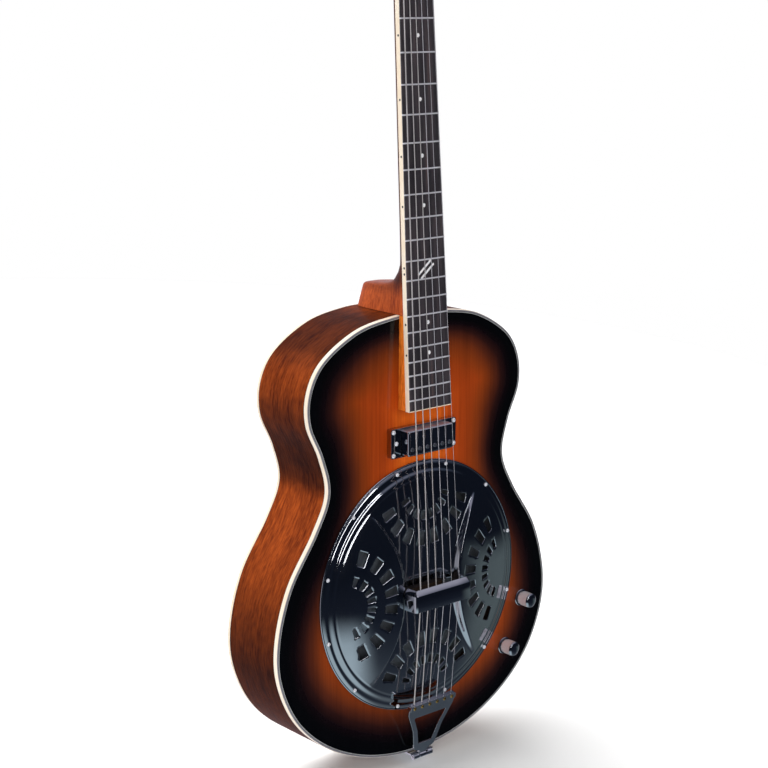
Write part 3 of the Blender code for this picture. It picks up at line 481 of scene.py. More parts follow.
def string_material(name, colour, winding):
    """String metal; a wound string has ridges across it every `winding` millimetres, with painted
    shade in the grooves between them.
    """
    r = recipe(name)
    haze = r.noise(r.place((60.0, 60.0, 30.0)), 1.0, 3.0)
    base = r.mix(r.spread(haze, 0.4, 0.8, 0.0, 0.6), colour, scaled(colour, 0.6))
    relief = r.bump(haze, 0.000004)
    if winding:
        ridges = r.math("SINE", r.math("MULTIPLY", r.split()[2], math.tau / (winding * MM)))
        # painted shade: darker in the grooves between the windings
        base = r.mix(r.spread(ridges, -1.0, 0.2, 0.75, 0.0), base, scaled(colour, 0.3))
        relief = r.bump(ridges, 0.00006, relief)
    return r.finish(base, r.spread(haze, 0.3, 0.7, 0.3, 0.42), relief, Metallic=0.45)


def pearl_material():
    """Mother of pearl: drifting pale tints in layers."""
    r = recipe("pearl")
    layers = r.noise(r.place((240.0, 240.0, 420.0)), 1.0, 4.0, 2.2)
    colour = r.ramp(r.spread(layers, 0.3, 0.72),
                    [(0.0, srgb(176, 182, 196)), (0.35, srgb(214, 222, 224)),
                     (0.6, srgb(236, 228, 232)), (1.0, srgb(246, 246, 240))])
    return r.finish(colour, r.spread(layers, 0.3, 0.7, 0.14, 0.3), r.bump(layers, 0.00001),
                    Coat_Weight=0.8, Sheen_Weight=0.2, Specular_IOR_Level=0.7)


def floor_material():
    """A pale matt floor with faint clouds."""
    r = recipe("pale_floor")
    cloud = r.noise(r.place(), 3.0, 3.0)
    colour = r.mix(cloud, srgb(243, 243, 243), srgb(249, 249, 248))
    return r.finish(colour, 0.75, Specular_IOR_Level=0.2)


def make_materials():
    """Every material, by the name that the pieces know it by."""
    dark_red, light_red = srgb(84, 36, 20), srgb(166, 80, 44)
    return {
        "sunburst": sunburst_material(),
        # the sides carry painted light and shade along the rim, darkest at the waist and by the heel
        "side": mahogany_material("mahogany_side", along_rim, srgb(112, 42, 16), srgb(212, 98, 38),
                                  0.06, rim_painted_shade),
        # painted shade darkens the neck along its shaft
        "neck": mahogany_material("mahogany_neck", along_z, srgb(128, 48, 16), srgb(192, 88, 34),
                                  dress=neck_painted_shade),
        # painted light: the riser is neck wood, given a brighter mahogany than the neck's
        "riser_painted_light": mahogany_material("mahogany_riser_painted_light", along_z, srgb(150, 62, 12),
                                   srgb(236, 128, 44)),
        "back": mahogany_material("mahogany_back", bookmatched, dark_red, srgb(158, 76, 42),
                                  dress=centre_strip),
        "block": mahogany_material("mahogany_plain", along_z, dark_red, light_red, 0.0),
        "spruce": plain_wood_material("spruce_bare", srgb(186, 148, 100), srgb(224, 190, 140)),
        "maple": plain_wood_material("maple_bare", srgb(176, 132, 84), srgb(214, 174, 122)),
        # painted shade: maple darkened to stand for the shade on the saddle under the palm rest and
        # on the biscuit and soundwell behind the slots
        "shade_dark_wood": plain_wood_material("maple_painted_shade", srgb(30, 22, 18), srgb(58, 42, 32)),
        "binding": binding_material("cream_binding", srgb(240, 225, 203), srgb(230, 202, 162)),
        # cream with painted shade on its forward faces, for the soundboard's and the board's bindings
        "top_binding": binding_material("cream_binding_painted_shade", srgb(240, 228, 210),
                                        srgb(230, 206, 172), srgb(108, 106, 114)),
        "line_white": binding_material("white_line", srgb(176, 178, 180), srgb(150, 150, 146)),
        "line_black": plastic_material("black_line", srgb(14, 14, 15)),
        "rosewood": rosewood_material(),
        "bone": binding_material("bone", srgb(236, 230, 212), srgb(214, 198, 164)),
        "pearl": pearl_material(),
        "cover": plated_material("coverplate_chrome", srgb(184, 186, 192), 0.05),
        "chrome": plated_material("chrome", srgb(210, 211, 216), 0.05),
        "knob": plated_material("knob_knurl", srgb(250, 248, 255), 0.16, metallic=0.6),
        "screw": plated_material("screw_head", srgb(244, 244, 250), 0.22, metallic=0.5),
        # painted light: a satin copy of the chrome for the pickup cover's upward faces
        "satin_painted_light": plated_material("satin_chrome_painted_light", srgb(150, 150, 166), 0.35, metallic=0.3),
        "fret": plated_material("fret_metal", srgb(236, 234, 240), 0.3, metallic=0.6),
        "steel": plated_material("polished_steel", srgb(206, 204, 210), 0.34, 0.00002),
        "brass": plated_material("brass", srgb(196, 160, 92), 0.2, 0.00002, srgb(140, 106, 54)),
        "aluminium": spun_material(),
        "wound": string_material("bronze_wound", srgb(222, 216, 216), 0.55),
        "plain": string_material("plain_steel", srgb(202, 200, 208), 0),
        "black": plastic_material("black_plastic", srgb(20, 20, 22)),
        "floor": floor_material(),
    }


# ---------------------------------------------------------------- pieces
def mesh_from(name, tool):
    """The bmesh as a mesh whose faces point out. The bmesh is freed."""
    bmesh.ops.recalc_face_normals(tool, faces=tool.faces)
    mesh = bpy.data.meshes.new(name)
    tool.to_mesh(mesh)
    tool.free()
    return mesh


def linked(name, data):
    """An object of the mesh, light or camera, in the scene."""
    made = bpy.data.objects.new(name, data)
    bpy.context.scene.collection.objects.link(made)
    return made


def rider(name, mesh, body, replaced=()):
    """A piece that rides a CAD body, standing in for the CAD nodes that it hides."""
    made = linked(name, mesh)
    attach(made, body)
    if replaced:
        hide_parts(*replaced)
    return made


def piece(name, tool, material, replaced=(), body="guitar", bevel=0.0, angle=35):
    """An object from a bmesh in guitar millimetres, with its hard edges rounded by bevel."""
    for vertex in tool.verts:
        vertex.co = to_world(vertex.co)
    mesh = mesh_from(name, tool)
    mesh.materials.append(MATERIALS[material])
    mesh.shade_smooth()
    made = rider(name, mesh, body, replaced)
    if bevel:
        rounding = made.modifiers.new("rounded_edges", "BEVEL")
        rounding.width = bevel * MM
        rounding.segments = 3
        rounding.limit_method = "ANGLE"
        rounding.angle_limit = math.radians(38)
        rounding.harden_normals = True
        rounding.use_clamp_overlap = True
    else:
        mesh.set_sharp_from_angle(angle=math.radians(angle))
    return made


def ring_angles(count):
    """Angles evenly spaced round a circle."""
    return [math.tau * i / count for i in range(count)]


def skin(tool, first, second):
    """Faces between two rings of points, one of which may be a single point."""
    count = max(len(first), len(second))
    for i in range(count):
        k = (i + 1) % count
        if len(first) == 1:
            tool.faces.new((first[0], second[k], second[i]))
        elif len(second) == 1:
            tool.faces.new((first[i], first[k], second[0]))
        else:
            tool.faces.new((first[i], first[k], second[k], second[i]))


def lofted(rings, tool=None, place=HERE, around=False):
    """A solid through rings of points, capped at both ends or joined end to end."""
    tool = tool or bmesh.new()
    made = [[tool.verts.new(place @ Vector(p)) for p in ring] for ring in rings]
    for first, second in zip(made, made[1:]):
        skin(tool, first, second)
    if around:
        skin(tool, made[-1], made[0])
    else:
        for ring in (made[0], made[-1]):
            if len(ring) > 2:
                tool.faces.new(ring)
    return tool


def turned(profile, place=HERE, sides=48, ripple=None):
    """A profile of (radius, height) turned about local z. ripple(radius, height, angle) may
    change the radius, for knurls, teeth and threads."""
    tool = bmesh.new()
    rings = []
    for radius, height in profile:
        if radius == 0:
            rings.append([tool.verts.new(place @ Vector((0, 0, height)))])
            continue
        ring = []
        for angle in ring_angles(sides):
            far = ripple(radius, height, angle) if ripple else radius
            spot = Vector((far * math.cos(angle), far * math.sin(angle), height))
            ring.append(tool.verts.new(place @ spot))
        rings.append(ring)
    for first, second in zip(rings, rings[1:]):
        skin(tool, first, second)
    if profile[0][0] and profile[-1][0]:
        skin(tool, rings[-1], rings[0])
    return tool


def box(low, high):
    """A box between two corners."""
    tool = bmesh.new()
    for vertex in bmesh.ops.create_cube(tool, size=1)["verts"]:
        vertex.co = [low[i] if vertex.co[i] < 0 else high[i] for i in range(3)]
    return tool


def tube(points, radius, sides):
    """A round bar along points."""
    points = [Vector(p) for p in points]
    rings = []
    across = None
    for i, point in enumerate(points):
        before, after = points[max(i - 1, 0)], points[min(i + 1, len(points) - 1)]
        along = (after - before).normalized()
        if across is None:
            across = along.orthogonal().normalized()
        across = (across - across.dot(along) * along).normalized()
        other = along.cross(across)
        rings.append([point + radius * (math.cos(a) * across + math.sin(a) * other)
                      for a in ring_angles(sides)])
    return lofted(rings)


def smooth_curve(points, steps, closed=False):
    """Catmull-Rom through the points."""
    points = [Vector(p) for p in points]
    count = len(points)
    made = []

    def pick(i):
        return points[i % count] if closed else points[min(max(i, 0), count - 1)]

    for i in range(count if closed else count - 1):
        a, b, c, d = (pick(i + k) for k in (-1, 0, 1, 2))
        for step in range(steps):
            t = step / steps
            made.append(0.5 * (2 * b + (c - a) * t + (2 * a - 5 * b + 4 * c - d) * t ** 2
                               + (3 * b - a - 3 * c + d) * t ** 3))
    if not closed:
        made.append(points[-1])
    return made


def mirrored(half):
    """A closed outline from its half at x >= 0."""
    return list(half) + [(-x, z) for x, z in reversed(half) if x > 0]


def rounded(corners, radius, steps=4):
    """A closed outline with each corner replaced by an arc."""
    corners = [Vector(c) for c in corners]
    made = []
    for i, corner in enumerate(corners):
        before = corners[i - 1] - corner
        after = corners[(i + 1) % len(corners)] - corner
        reach = min(radius, before.length / 2.01, after.length / 2.01)
        start = corner + before.normalized() * reach
        end = corner + after.normalized() * reach
        for step in range(steps + 1):
            t = step / steps
            made.append(tuple((1 - t) ** 2 * start + 2 * t * (1 - t) * corner + t * t * end))
    return made


def rectangle(wide, high, z=0.0, radius=0.0):
    """A rectangle of half width wide and half height high, about the centre line at z."""
    corners = [(-wide, z - high), (wide, z - high), (wide, z + high), (-wide, z + high)]
    return rounded(corners, radius) if radius else corners


def circle(x, z, radius, sides=48):
    """A ring of points round (x, z)."""
    return [(x + radius * math.cos(a), z + radius * math.sin(a)) for a in ring_angles(sides)]


def moved_loop(loop, distance):
    """A closed loop moved to its left by distance, point by point."""
    points = [Vector(p) for p in loop]
    made = []
    for i, point in enumerate(points):
        along = (points[(i + 1) % len(points)] - points[i - 1]).normalized()
        made.append(tuple(point + distance * Vector((-along.y, along.x))))
    return made


def turning_left(loop):
    """The loop in the direction that has its inside on the left."""
    area = sum(a[0] * b[1] - b[0] * a[1] for a, b in zip(loop, loop[1:] + loop[:1]))
    return list(loop) if area > 0 else list(loop)[::-1]


def inside(points, loop):
    """Which points lie inside a closed loop."""
    hit = np.zeros(len(points), bool)
    x, z = points[:, 0], points[:, 1]
    for (ax, az), (bx, bz) in zip(loop, loop[1:] + loop[:1]):
        if az != bz:
            crosses = (az > z) != (bz > z)
            hit ^= crosses & (x < (bx - ax) * (z - az) / (bz - az) + ax)
    return hit


def distance_to(points, line, closed=True):
    """Each point's distance to a line of points, closed or open."""
    nearest = np.full(len(points), 1e9)
    for (ax, az), (bx, bz) in zip(line, line[1:] + (line[:1] if closed else [])):
        start, along = np.array((ax, az)), np.array((bx - ax, bz - az))
        length = max(float(along @ along), 1e-12)
        t = np.clip((points - start) @ along / length, 0, 1)
        gap = points - start - t[:, None] * along
        nearest = np.minimum(nearest, np.hypot(gap[:, 0], gap[:, 1]))
    return nearest


def sheet(outer, holes, front, back, spacing=None, lip=0.0, folds=(), place=HERE):
    """A sheet cut to an outline with holes. front and back are depths or functions of x and z,
    spacing fills it with a fine mesh, lip rounds its front edges over and folds are open lines
    that its mesh follows."""
    outer = turning_left(outer)
    holes = [turning_left(hole) for hole in holes]
    rails = [outer] + holes
    if lip:
        rails += [moved_loop(outer, lip)] + [moved_loop(hole, -lip) for hole in holes]
    points, edges = [], []
    for rail in rails:
        first = len(points)
        points += rail
        edges += [(first + i, first + (i + 1) % len(rail)) for i in range(len(rail))]
    for fold in folds:
        first = len(points)
        points += fold
        edges += [(first + i, first + i + 1) for i in range(len(fold) - 1)]
    if spacing:
        points += grid_points(rails, folds, outer, spacing)
    spots, _, faces, *_ = delaunay_2d_cdt([Vector(p) for p in points], edges, [], 1, 1e-5)
    flat = np.array([tuple(s) for s in spots])
    centres = np.array([flat[list(face)].mean(axis=0) for face in faces])
    keep = inside(centres, outer)
    for hole in holes:
        low, high = np.min(hole, axis=0), np.max(hole, axis=0)
        near = np.all((centres > low) & (centres < high), axis=1)
        keep[near] &= ~inside(centres[near], hole)
    return build_sheet(flat, [f for f, k in zip(faces, keep) if k], front, back, lip, place)


def grid_points(rails, folds, outer, spacing):
    """Points of a square grid inside the outline and clear of every rail and fold."""
    low, high = np.min(outer, axis=0), np.max(outer, axis=0)
    across = np.arange(low[0] + spacing / 2, high[0], spacing)
    up = np.arange(low[1] + spacing / 2, high[1], spacing)
    grid = np.array([(x, z) for x in across for z in up])
    grid = grid[inside(grid, outer)]
    clear = np.ones(len(grid), bool)
    for line, closed in [(rail, True) for rail in rails] + [(fold, False) for fold in folds]:
        low, high = np.min(line, axis=0) - spacing, np.max(line, axis=0) + spacing
        near = np.all((grid > low) & (grid < high), axis=1)
        clear[near] &= distance_to(grid[near], line, closed) > spacing * 0.45
    return [tuple(p) for p in grid[clear]]


def build_sheet(flat, faces, front, back, lip, place):
    """The sheet's two faces and the walls between them."""
    def depth(surface, x, z):
        return surface(x, z) if callable(surface) else surface

    tool = bmesh.new()
    edges = dict.fromkeys((a, b) for face in faces for a, b in zip(face, face[1:] + face[:1]))
    rims = [(a, b) for a, b in edges if (b, a) not in edges]
    on_rim = {index for rim in rims for index in rim}
    used = sorted({index for face in faces for index in face})
    near, far = {}, {}
    for index in used:
        x, z = flat[index]
        over = 0.8 * lip if index in on_rim else 0.0
        near[index] = tool.verts.new(place @ Vector((x, depth(front, x, z) + over, z)))
        far[index] = tool.verts.new(place @ Vector((x, depth(back, x, z), z)))
    for face in faces:
        tool.faces.new([near[i] for i in face])
        tool.faces.new([far[i] for i in face[::-1]])
    for a, b in rims:
        tool.faces.new((near[b], near[a], far[a], far[b]))
    return tool


def screw_mesh(name, radius, height, slots=2, material="screw"):
    """A round-headed screw with one slot or a cross, in metres, its head towards local z."""
    head = [(0, height), (radius * 0.35, height * 0.95), (radius * 0.65, height * 0.78),
            (radius * 0.88, height * 0.5), (radius, height * 0.18), (radius, 0),
            (radius * 0.5, -0.6), (0, -0.6)]
    screw = linked(name, mesh_from(name, turned(head, sides=28)))
    wide, reach = radius * 0.13, radius * (0.62 if slots == 2 else 1.2)
    for x, y in ((reach, wide), (wide, reach))[:slots]:
        cutter = box((-x, -y, height * 0.45), (x, y, height + 1))
        carve(screw, linked("cutter", mesh_from("cutter", cutter)))
    mesh = screw.data
    mesh.transform(Matrix.Scale(MM, 4))
    mesh.materials.clear()
    mesh.materials.append(MATERIALS[material])
    mesh.shade_smooth()
    mesh.set_sharp_from_angle(angle=math.radians(35))
    bpy.data.objects.remove(screw, do_unlink=True)
    return mesh


def carve(target, cutter):
    """Cuts one object by another, which is then removed."""
    modifier = target.modifiers.new("carve", "BOOLEAN")
    modifier.operation = "DIFFERENCE"
    modifier.solver = "EXACT"
    modifier.object = cutter
    bpy.context.view_layer.update()
    evaluated = target.evaluated_get(bpy.context.evaluated_depsgraph_get())
    mesh = bpy.data.meshes.new_from_object(evaluated)
    target.modifiers.clear()
    target.data = mesh
    bpy.data.objects.remove(cutter, do_unlink=True)


def set_screw(name, mesh, place, spin=0.0, turn=FACING_FRONT, body="guitar"):
    """A screw of a shared mesh: at place, facing the way turn sends local z."""
    made = rider(name, mesh, body)
    spun = turn @ Matrix.Rotation(spin, 3, "Z")
    made.matrix_world = Matrix.Translation(to_world(place)) @ spun.to_4x4()


# ---------------------------------------------------------------- the guitar's own lines
def body_outline(inset=0.0):
    """The body's closed outline, moved inwards by inset, starting at the end pin."""
    return moved_loop(smooth_curve(mirrored(BODY_SIDE), BODY_STEPS, True), inset + OUTLINE_SLACK)


def board_top(z):
    """The depth of the playing surface's middle."""
    return BOARD_Y_AT_BODY + NECK_SLOPE * (z - BODY_TOP)


def board_half(z):
    """Half the fretboard's width at height z."""
    twelfth = SCALE_LENGTH / 2
    taper = (BOARD_TWELFTH_HALF - BOARD_NUT_HALF) / (SCALE_LENGTH - twelfth)
    return BOARD_NUT_HALF + taper * (SCALE_LENGTH - z)


def board_surface(x, z):
    """The depth of the cambered playing surface."""
    return board_top(z) + BOARD_CAMBER * (x / board_half(z)) ** 2


def fret_z(number):
    """The height of a fret above the saddle."""
    return SCALE_LENGTH * 2 ** (-number / 12)


def marker_z(number):
    """The middle of the space behind a fret."""
    return (fret_z(number) + fret_z(number - 1)) / 2


def string_x(index, spread):
    """A string's place across the guitar where the outer two are spread apart."""
    return spread * (index / (len(STRING_NAMES) - 1) - 0.5)


def head_point(x, y, along):
    """A point on the headstock: x across it, y behind its face, along it from the nut."""
    return HEADSTOCK_ORIGIN + HEAD_TURN @ Vector((x, y, along))


def half_valley(z):
    """The valley's half width, least at the plate's centre."""
    return VALLEY_HALF + VALLEY_FLARE * (z - PLATE_CENTRE_Z) ** 2


def cover_height(x, z):
    """How far the coverplate's surface stands in front of the soundboard at x, z. Two shallow
    rolls are pressed round its ring, between the rim and the crease."""
    r = min(math.hypot(x, z - PLATE_CENTRE_Z), COVER_RADIUS)
    if r > COVER_CREASE:
        slope = (COVER_CREASE_HEIGHT - COVER_FOOT) / (COVER_RADIUS - COVER_CREASE)
        roll = ROLL_DEPTH * math.sin(math.tau * (COVER_RADIUS - r - ROLL_START) / ROLL_WIDTH)
        return COVER_FOOT + slope * (COVER_RADIUS - r) + roll
    arch = 1 - (r / COVER_CREASE) ** 3
    raised = min(max((abs(x) - half_valley(z)) / WALL_WIDTH + 0.5, 0), 1)
    field = FIELD_RISE * raised * raised * (3 - 2 * raised)
    return COVER_CREASE_HEIGHT + arch * (VALLEY_RISE + field)


# ---------------------------------------------------------------- body
def swept(profile):
    """A closed profile of (inset, depth) points carried round the body's outline."""
    lines = [body_outline(inset) for inset, _ in profile]
    rings = [[(line[i][0], depth, line[i][1]) for line, (_, depth) in zip(lines, profile)]
             for i in range(len(lines[0]))]
    return lofted(rings, around=True)


def swept_line(name, material, insets, depths):
    """A thin line let in round the body, between two insets and two depths."""
    corners = [(inset, depth) for inset in insets for depth in depths]
    piece(name, swept([corners[i] for i in (0, 2, 3, 1)]), material)


def make_body():
    """The soundboard, the bindings and their lines, the two sides and the back."""
    make_soundboard()
    width, deep = BINDING_WIDTH, TOP_BINDING_HEIGHT
    low, high = BODY_DEPTH - BACK_BINDING_HEIGHT, BODY_DEPTH
    front = [(width, 0), (1.7, 0), (1.05, 0.13), (0.5, 0.5), (0.13, 1.05), (0, 1.7), (0, deep),
             (width, deep)]
    # the cream binding carries painted shade on its forward faces
    piece("front_binding", swept(front), "top_binding", ["top_binding"], angle=50)
    rear = [(width, low), (0, low), (0, high - 0.9), (0.12, high - 0.4), (0.4, high - 0.12),
            (0.9, high), (width, high)]
    piece("rear_binding", swept(rear), "binding", ["back_binding"], angle=50)
    for number, material in enumerate(("line_black", "line_white", "line_black")):
        start = width + number * LINE_WIDTH
        swept_line(f"soundboard_line_{number + 1}", material, (start, start + LINE_WIDTH),
                   (FLUSH, LINE_DEPTH))
    for where, start in (("front", deep), ("rear", low - LINE_WIDTH)):
        swept_line(f"side_line_{where}", "line_black", (FLUSH, LINE_DEPTH),
                   (start, start + LINE_WIDTH))
    make_sides(deep + LINE_WIDTH, low - LINE_WIDTH)
    piece("carved_back", sheet(body_outline(width), (), BODY_DEPTH - 4, BODY_DEPTH - FLUSH),
          "back", ["back_plate"])


def make_soundboard():
    """The shaded top. Its points know how far in from the edge their finish is: the dark rim
    is narrower at the waist and the shoulders, and wider on the bass side."""
    margin = BINDING_WIDTH + 3 * LINE_WIDTH
    holes = [circle(0, PLATE_CENTRE_Z, SOUNDWELL_HOLE, 96), rectangle(*PICKUP_OPENING, PICKUP_Z)]
    holes += [circle(x, z, CONTROL_HOLE, 24) for x, z in KNOBS.values()]
    top = piece("soundboard", sheet(body_outline(margin), holes, 0.05, 4.0, spacing=5.0),
                "sunburst", ["top_plate"])
    where = np.array([(v.co.x / MM, (v.co.z - SADDLE_Z) / MM) for v in top.data.vertices])
    narrowing = 1 - BASS_WIDENING * np.clip(-where[:, 0] / 100, 0, 1)
    for z, spread, amount in (WAIST_NARROWING, SHOULDER_NARROWING):
        narrowing += amount * np.exp(-((where[:, 1] - z) / spread) ** 2)
    shading = top.data.attributes.new("edge_distance", "FLOAT", "POINT")
    shading.data.foreach_set("value", distance_to(where, body_outline()) * narrowing)


def make_sides(low, high):
    """Two bent sides that meet at the end pin and the neck. Their points know how far along
    the grain they are and how light the painted light and shade makes them."""
    outer, inner = body_outline(), body_outline(RIM_THICKNESS)
    half = len(outer) // 2
    places, tones = zip(*RIM_PAINTED_SHADE)
    for name, node, start in (("side_treble", "rim_treble_side", 0),
                              ("side_bass", "rim_bass_side", half)):
        rings, lengths = [], [0.0]
        for step in range(half + 1):
            i = (start + step) % len(outer)
            (ox, oz), (ix, iz) = outer[i], inner[i]
            if step:
                lengths.append(lengths[-1] + math.dist(outer[i], outer[i - 1]))
            rings.append([(ox, low, oz), (ox, (low + high) / 2, oz), (ox, high, oz),
                          (ix, high, iz), (ix, low, iz)])
        made = piece(name, lofted(rings), "side", [node], angle=50)
        grain, painted_shade = [], []
        for index, vertex in enumerate(made.data.vertices):
            passed = lengths[index // len(rings[0])]
            along = lengths[-1] - passed if start else passed
            grain += [along * MM, vertex.co.y, 0.3]
            # painted light and shade, taken from the table round the rim
            painted_shade.append(np.interp(along / lengths[-1], places, tones))
        layer = made.data.attributes.new("grain", "FLOAT_VECTOR", "POINT")
        layer.data.foreach_set("vector", grain)
        layer = made.data.attributes.new("painted_shade", "FLOAT", "POINT")
        layer.data.foreach_set("value", painted_shade)


# ---------------------------------------------------------------- neck
def neck_ring(z, half, front, depth, squareness):
    """A cross-section: flat at the front, rounded behind, narrower towards the heel cap."""
    steps = 30
    climb = min((z - BODY_TOP) / HEEL_HEIGHT, 1)
    taper = HEEL_TAPER_FOOT + climb * (HEEL_TAPER_TOP - HEEL_TAPER_FOOT)
    ring = []
    for i in range(steps + 1):
        angle = math.pi * i / steps
        behind = depth * math.sin(angle) ** (2 / squareness) if 0 < i < steps else 0.0
        across = math.copysign(abs(math.cos(angle)) ** (2 / squareness), math.cos(angle))
        narrowing = 1 - taper * behind / BODY_DEPTH
        ring.append((half * across * narrowing, front + behind, z))
    return ring


def make_neck():
    """The shaft and heel as one loft, then the headstock with its dark face."""
    foot, head = HEADSTOCK_FOOT
    rings = []
    for z, depth, squareness in smooth_curve(NECK_SECTIONS, 5):
        front = board_top(z) + BOARD_THICKNESS + 0.05
        half = board_half(z)
        if z > foot:
            blend = (z - foot) / (head - foot)
            half = (1 - blend) * half + blend * HEADSTOCK_FOOT_HALF
            front = (1 - blend) * front + blend * HEADSTOCK_FOOT_Y
        rings.append(neck_ring(z, half, front, depth, squareness))
    piece("neck_shaft", lofted(rings), "neck", ["neck"], angle=32)
    place = at(HEADSTOCK_ORIGIN, HEAD_TURN)
    outline = turning_left(mirrored([tuple(p) for p in smooth_curve(HEADSTOCK_SIDE, 4)]))
    holes = [circle(x, spot, POST_RADIUS + 0.6, 24) for x in (-POST_X, POST_X)
             for spot in POST_PLACES]
    piece("headstock", sheet(outline, holes, VENEER, HEADSTOCK_THICKNESS, place=place),
          "neck", bevel=1.0)
    piece("headstock_face", sheet(outline, holes, 0, VENEER, place=place), "rosewood",
          bevel=0.25)
    line = sheet(moved_loop(outline, 3.0), [moved_loop(outline, 3.6)], -0.03, 0.4, place=place)
    piece("headstock_line", line, "line_white")


def board_rings(low, high, section):
    """Rings along the board from low to high, each made by section(z)."""
    count = 24
    return [section(low + (high - low) * i / count) for i in range(count + 1)]


def board_wood(z):
    """The wood's section, cambered in front."""
    half, behind = board_half(z) - BOARD_BINDING, board_top(z) + BOARD_THICKNESS
    front = [(x, board_surface(x, z), z) for x in (half * (i / 4 - 1) for i in range(9))]
    return front + [(half, behind, z), (-half, behind, z)]


def board_edge(side, z):
    """The section of the binding along one side, with its front edge rounded."""
    half, behind = board_half(z), board_top(z) + BOARD_THICKNESS
    inner, top = half - BOARD_BINDING, board_surface(half, z)
    corners = [(inner, board_surface(inner, z)), (half - 0.5, top - 0.05),
               (half - 0.12, top + 0.15), (half, top + 0.6), (half, behind), (inner, behind)]
    return [(side * x, y, z) for x, y in corners]


def make_fretboard():
    """The board with its bindings, frets and markers."""
    end, nut = BOARD_END, SCALE_LENGTH - 0.2
    piece("fretboard_wood", lofted(board_rings(end + BOARD_BINDING, nut, board_wood)),
          "rosewood", ["fretboard"])
    for side, name in SIDES:
        rings = board_rings(end, nut, lambda z: board_edge(side, z))
        # painted shade on the binding's forward faces
        piece(f"fretboard_binding_{name}", lofted(rings), "top_binding", angle=50)
    half = board_half(end) - BOARD_BINDING + 0.1
    top = board_top(end)
    piece("fretboard_binding_end",
          box((-half, top + 0.1, end), (half, top + BOARD_THICKNESS, end + BOARD_BINDING)),
          "binding", bevel=0.2)
    for number in range(1, FRETS + 1):
        make_fret(number)
    make_markers()


def make_fret(number):
    """A crowned fret with its ends dressed back, over the binding."""
    z = fret_z(number)
    half = board_half(z) - 0.2
    crown = [(-0.8, 0.3), (-0.78, 0), (-0.7, -0.4), (-0.38, -0.8), (0, -0.92), (0.38, -0.8),
             (0.7, -0.4), (0.78, 0), (0.8, 0.3)]
    rings = []
    for station in [-1.0, -0.985] + [i / 4 for i in range(-3, 4)] + [0.985, 1.0]:
        x = station * half
        dress = 0.25 if abs(station) == 1.0 else 1.0
        rings.append([(x, board_surface(x, z) + up * (dress if up < 0 else 1), z + wide)
                      for wide, up in crown])
    piece(f"fret_{number:02d}", lofted(rings), "fret", angle=50)


def make_markers():
    """Pearl dots in the board, a slanted double bar at the twelfth fret, black side dots."""
    for number in DOT_FRETS:
        z = marker_z(number)
        place = at((0, board_top(z) + 0.1, z), NECK_TURN @ FACING_FRONT)
        disc = turned([(0, 0.16), (1.8, 0.16), (2.0, 0.1), (2.0, -0.6), (0, -0.6)], place, 32)
        piece(f"dot_{number:02d}", disc, "pearl")

    def cambered(x, z):
        return -0.06 + BOARD_CAMBER * (x / board_half(fret_z(12))) ** 2

    twelfth = marker_z(12)
    place = at((0, board_top(twelfth), twelfth), NECK_TURN)
    for name, offset in (("left", -2.6), ("right", 2.6)):
        bar = [Vector((x, z + offset)) for x, z in rectangle(11, 1.1, radius=0.9)]
        outline = [tuple(Matrix.Rotation(INLAY_TILT, 2) @ point) for point in bar]
        piece(f"inlay_12_{name}", sheet(outline, (), cambered, 0.8, place=place), "pearl")
    side_dots = [(number, 0.0) for number in DOT_FRETS] + [(12, -3.0), (12, 3.0)]
    for count, (number, shift) in enumerate(side_dots, 1):
        z = marker_z(number) + shift
        place = at((-board_half(z), board_top(z) + 2.7, z), FACING_BASS)
        disc = turned([(0, 0.04), (1.1, 0.04), (1.2, 0), (1.2, -0.5), (0, -0.5)], place, 16)
        piece(f"side_dot_{count}", disc, "black")


def make_riser():
    """The wedge of neck wood between the soundboard and the fretboard's tongue."""
    rings = []
    for z in (BOARD_END + 0.4, BODY_TOP - GAP):
        half, front = board_half(z) - 0.4, board_top(z) + BOARD_THICKNESS + 0.05
        rings.append([(-half, front, z), (half, front, z), (half, -FLUSH, z), (-half, -FLUSH, z)])
    # painted light: the riser's mahogany is brighter than the neck's
    piece("board_riser", lofted(rings), "riser_painted_light", ["fretboard_riser"])


# ---------------------------------------------------------------- resonator
def fan_slots():
    """The outlines of the sound slots, in four fans."""
    made = []
    for quarter in range(4):
        direction = math.tau * quarter / 4
        centre = Vector((FAN_DISTANCE * math.cos(direction),
                         PLATE_CENTRE_Z + FAN_DISTANCE * math.sin(direction)))
        for near, far in FAN_ARCS:
            for slot in range(FAN_SLOTS):
                middle = (direction + math.pi
                          + FAN_SPREAD * (2 * slot / (FAN_SLOTS - 1) - 1))
                low, high = middle - SLOT_ANGLE / 2, middle + SLOT_ANGLE / 2
                corners = [centre + reach * Vector((math.cos(angle), math.sin(angle)))
                           for reach, angle in ((near, low), (far, low), (far, high),
                                                (near, high))]
                made.append(rounded(corners, 0.9, 3))
    return made


def valley_folds():
    """Lines along the two walls of the valley, for the coverplate's mesh to follow."""
    made = []
    for side in (-1, 1):
        for i in range(7):
            shift = WALL_WIDTH * (i / 6 - 0.5)
            line = [(side * (half_valley(z) + shift), z)
                    for z in (PLATE_CENTRE_Z + 1.5 * step for step in range(-60, 61))]
            made.append([p for p in line
                         if math.hypot(p[0], p[1] - PLATE_CENTRE_Z) < COVER_CREASE - 4.5])
    return made


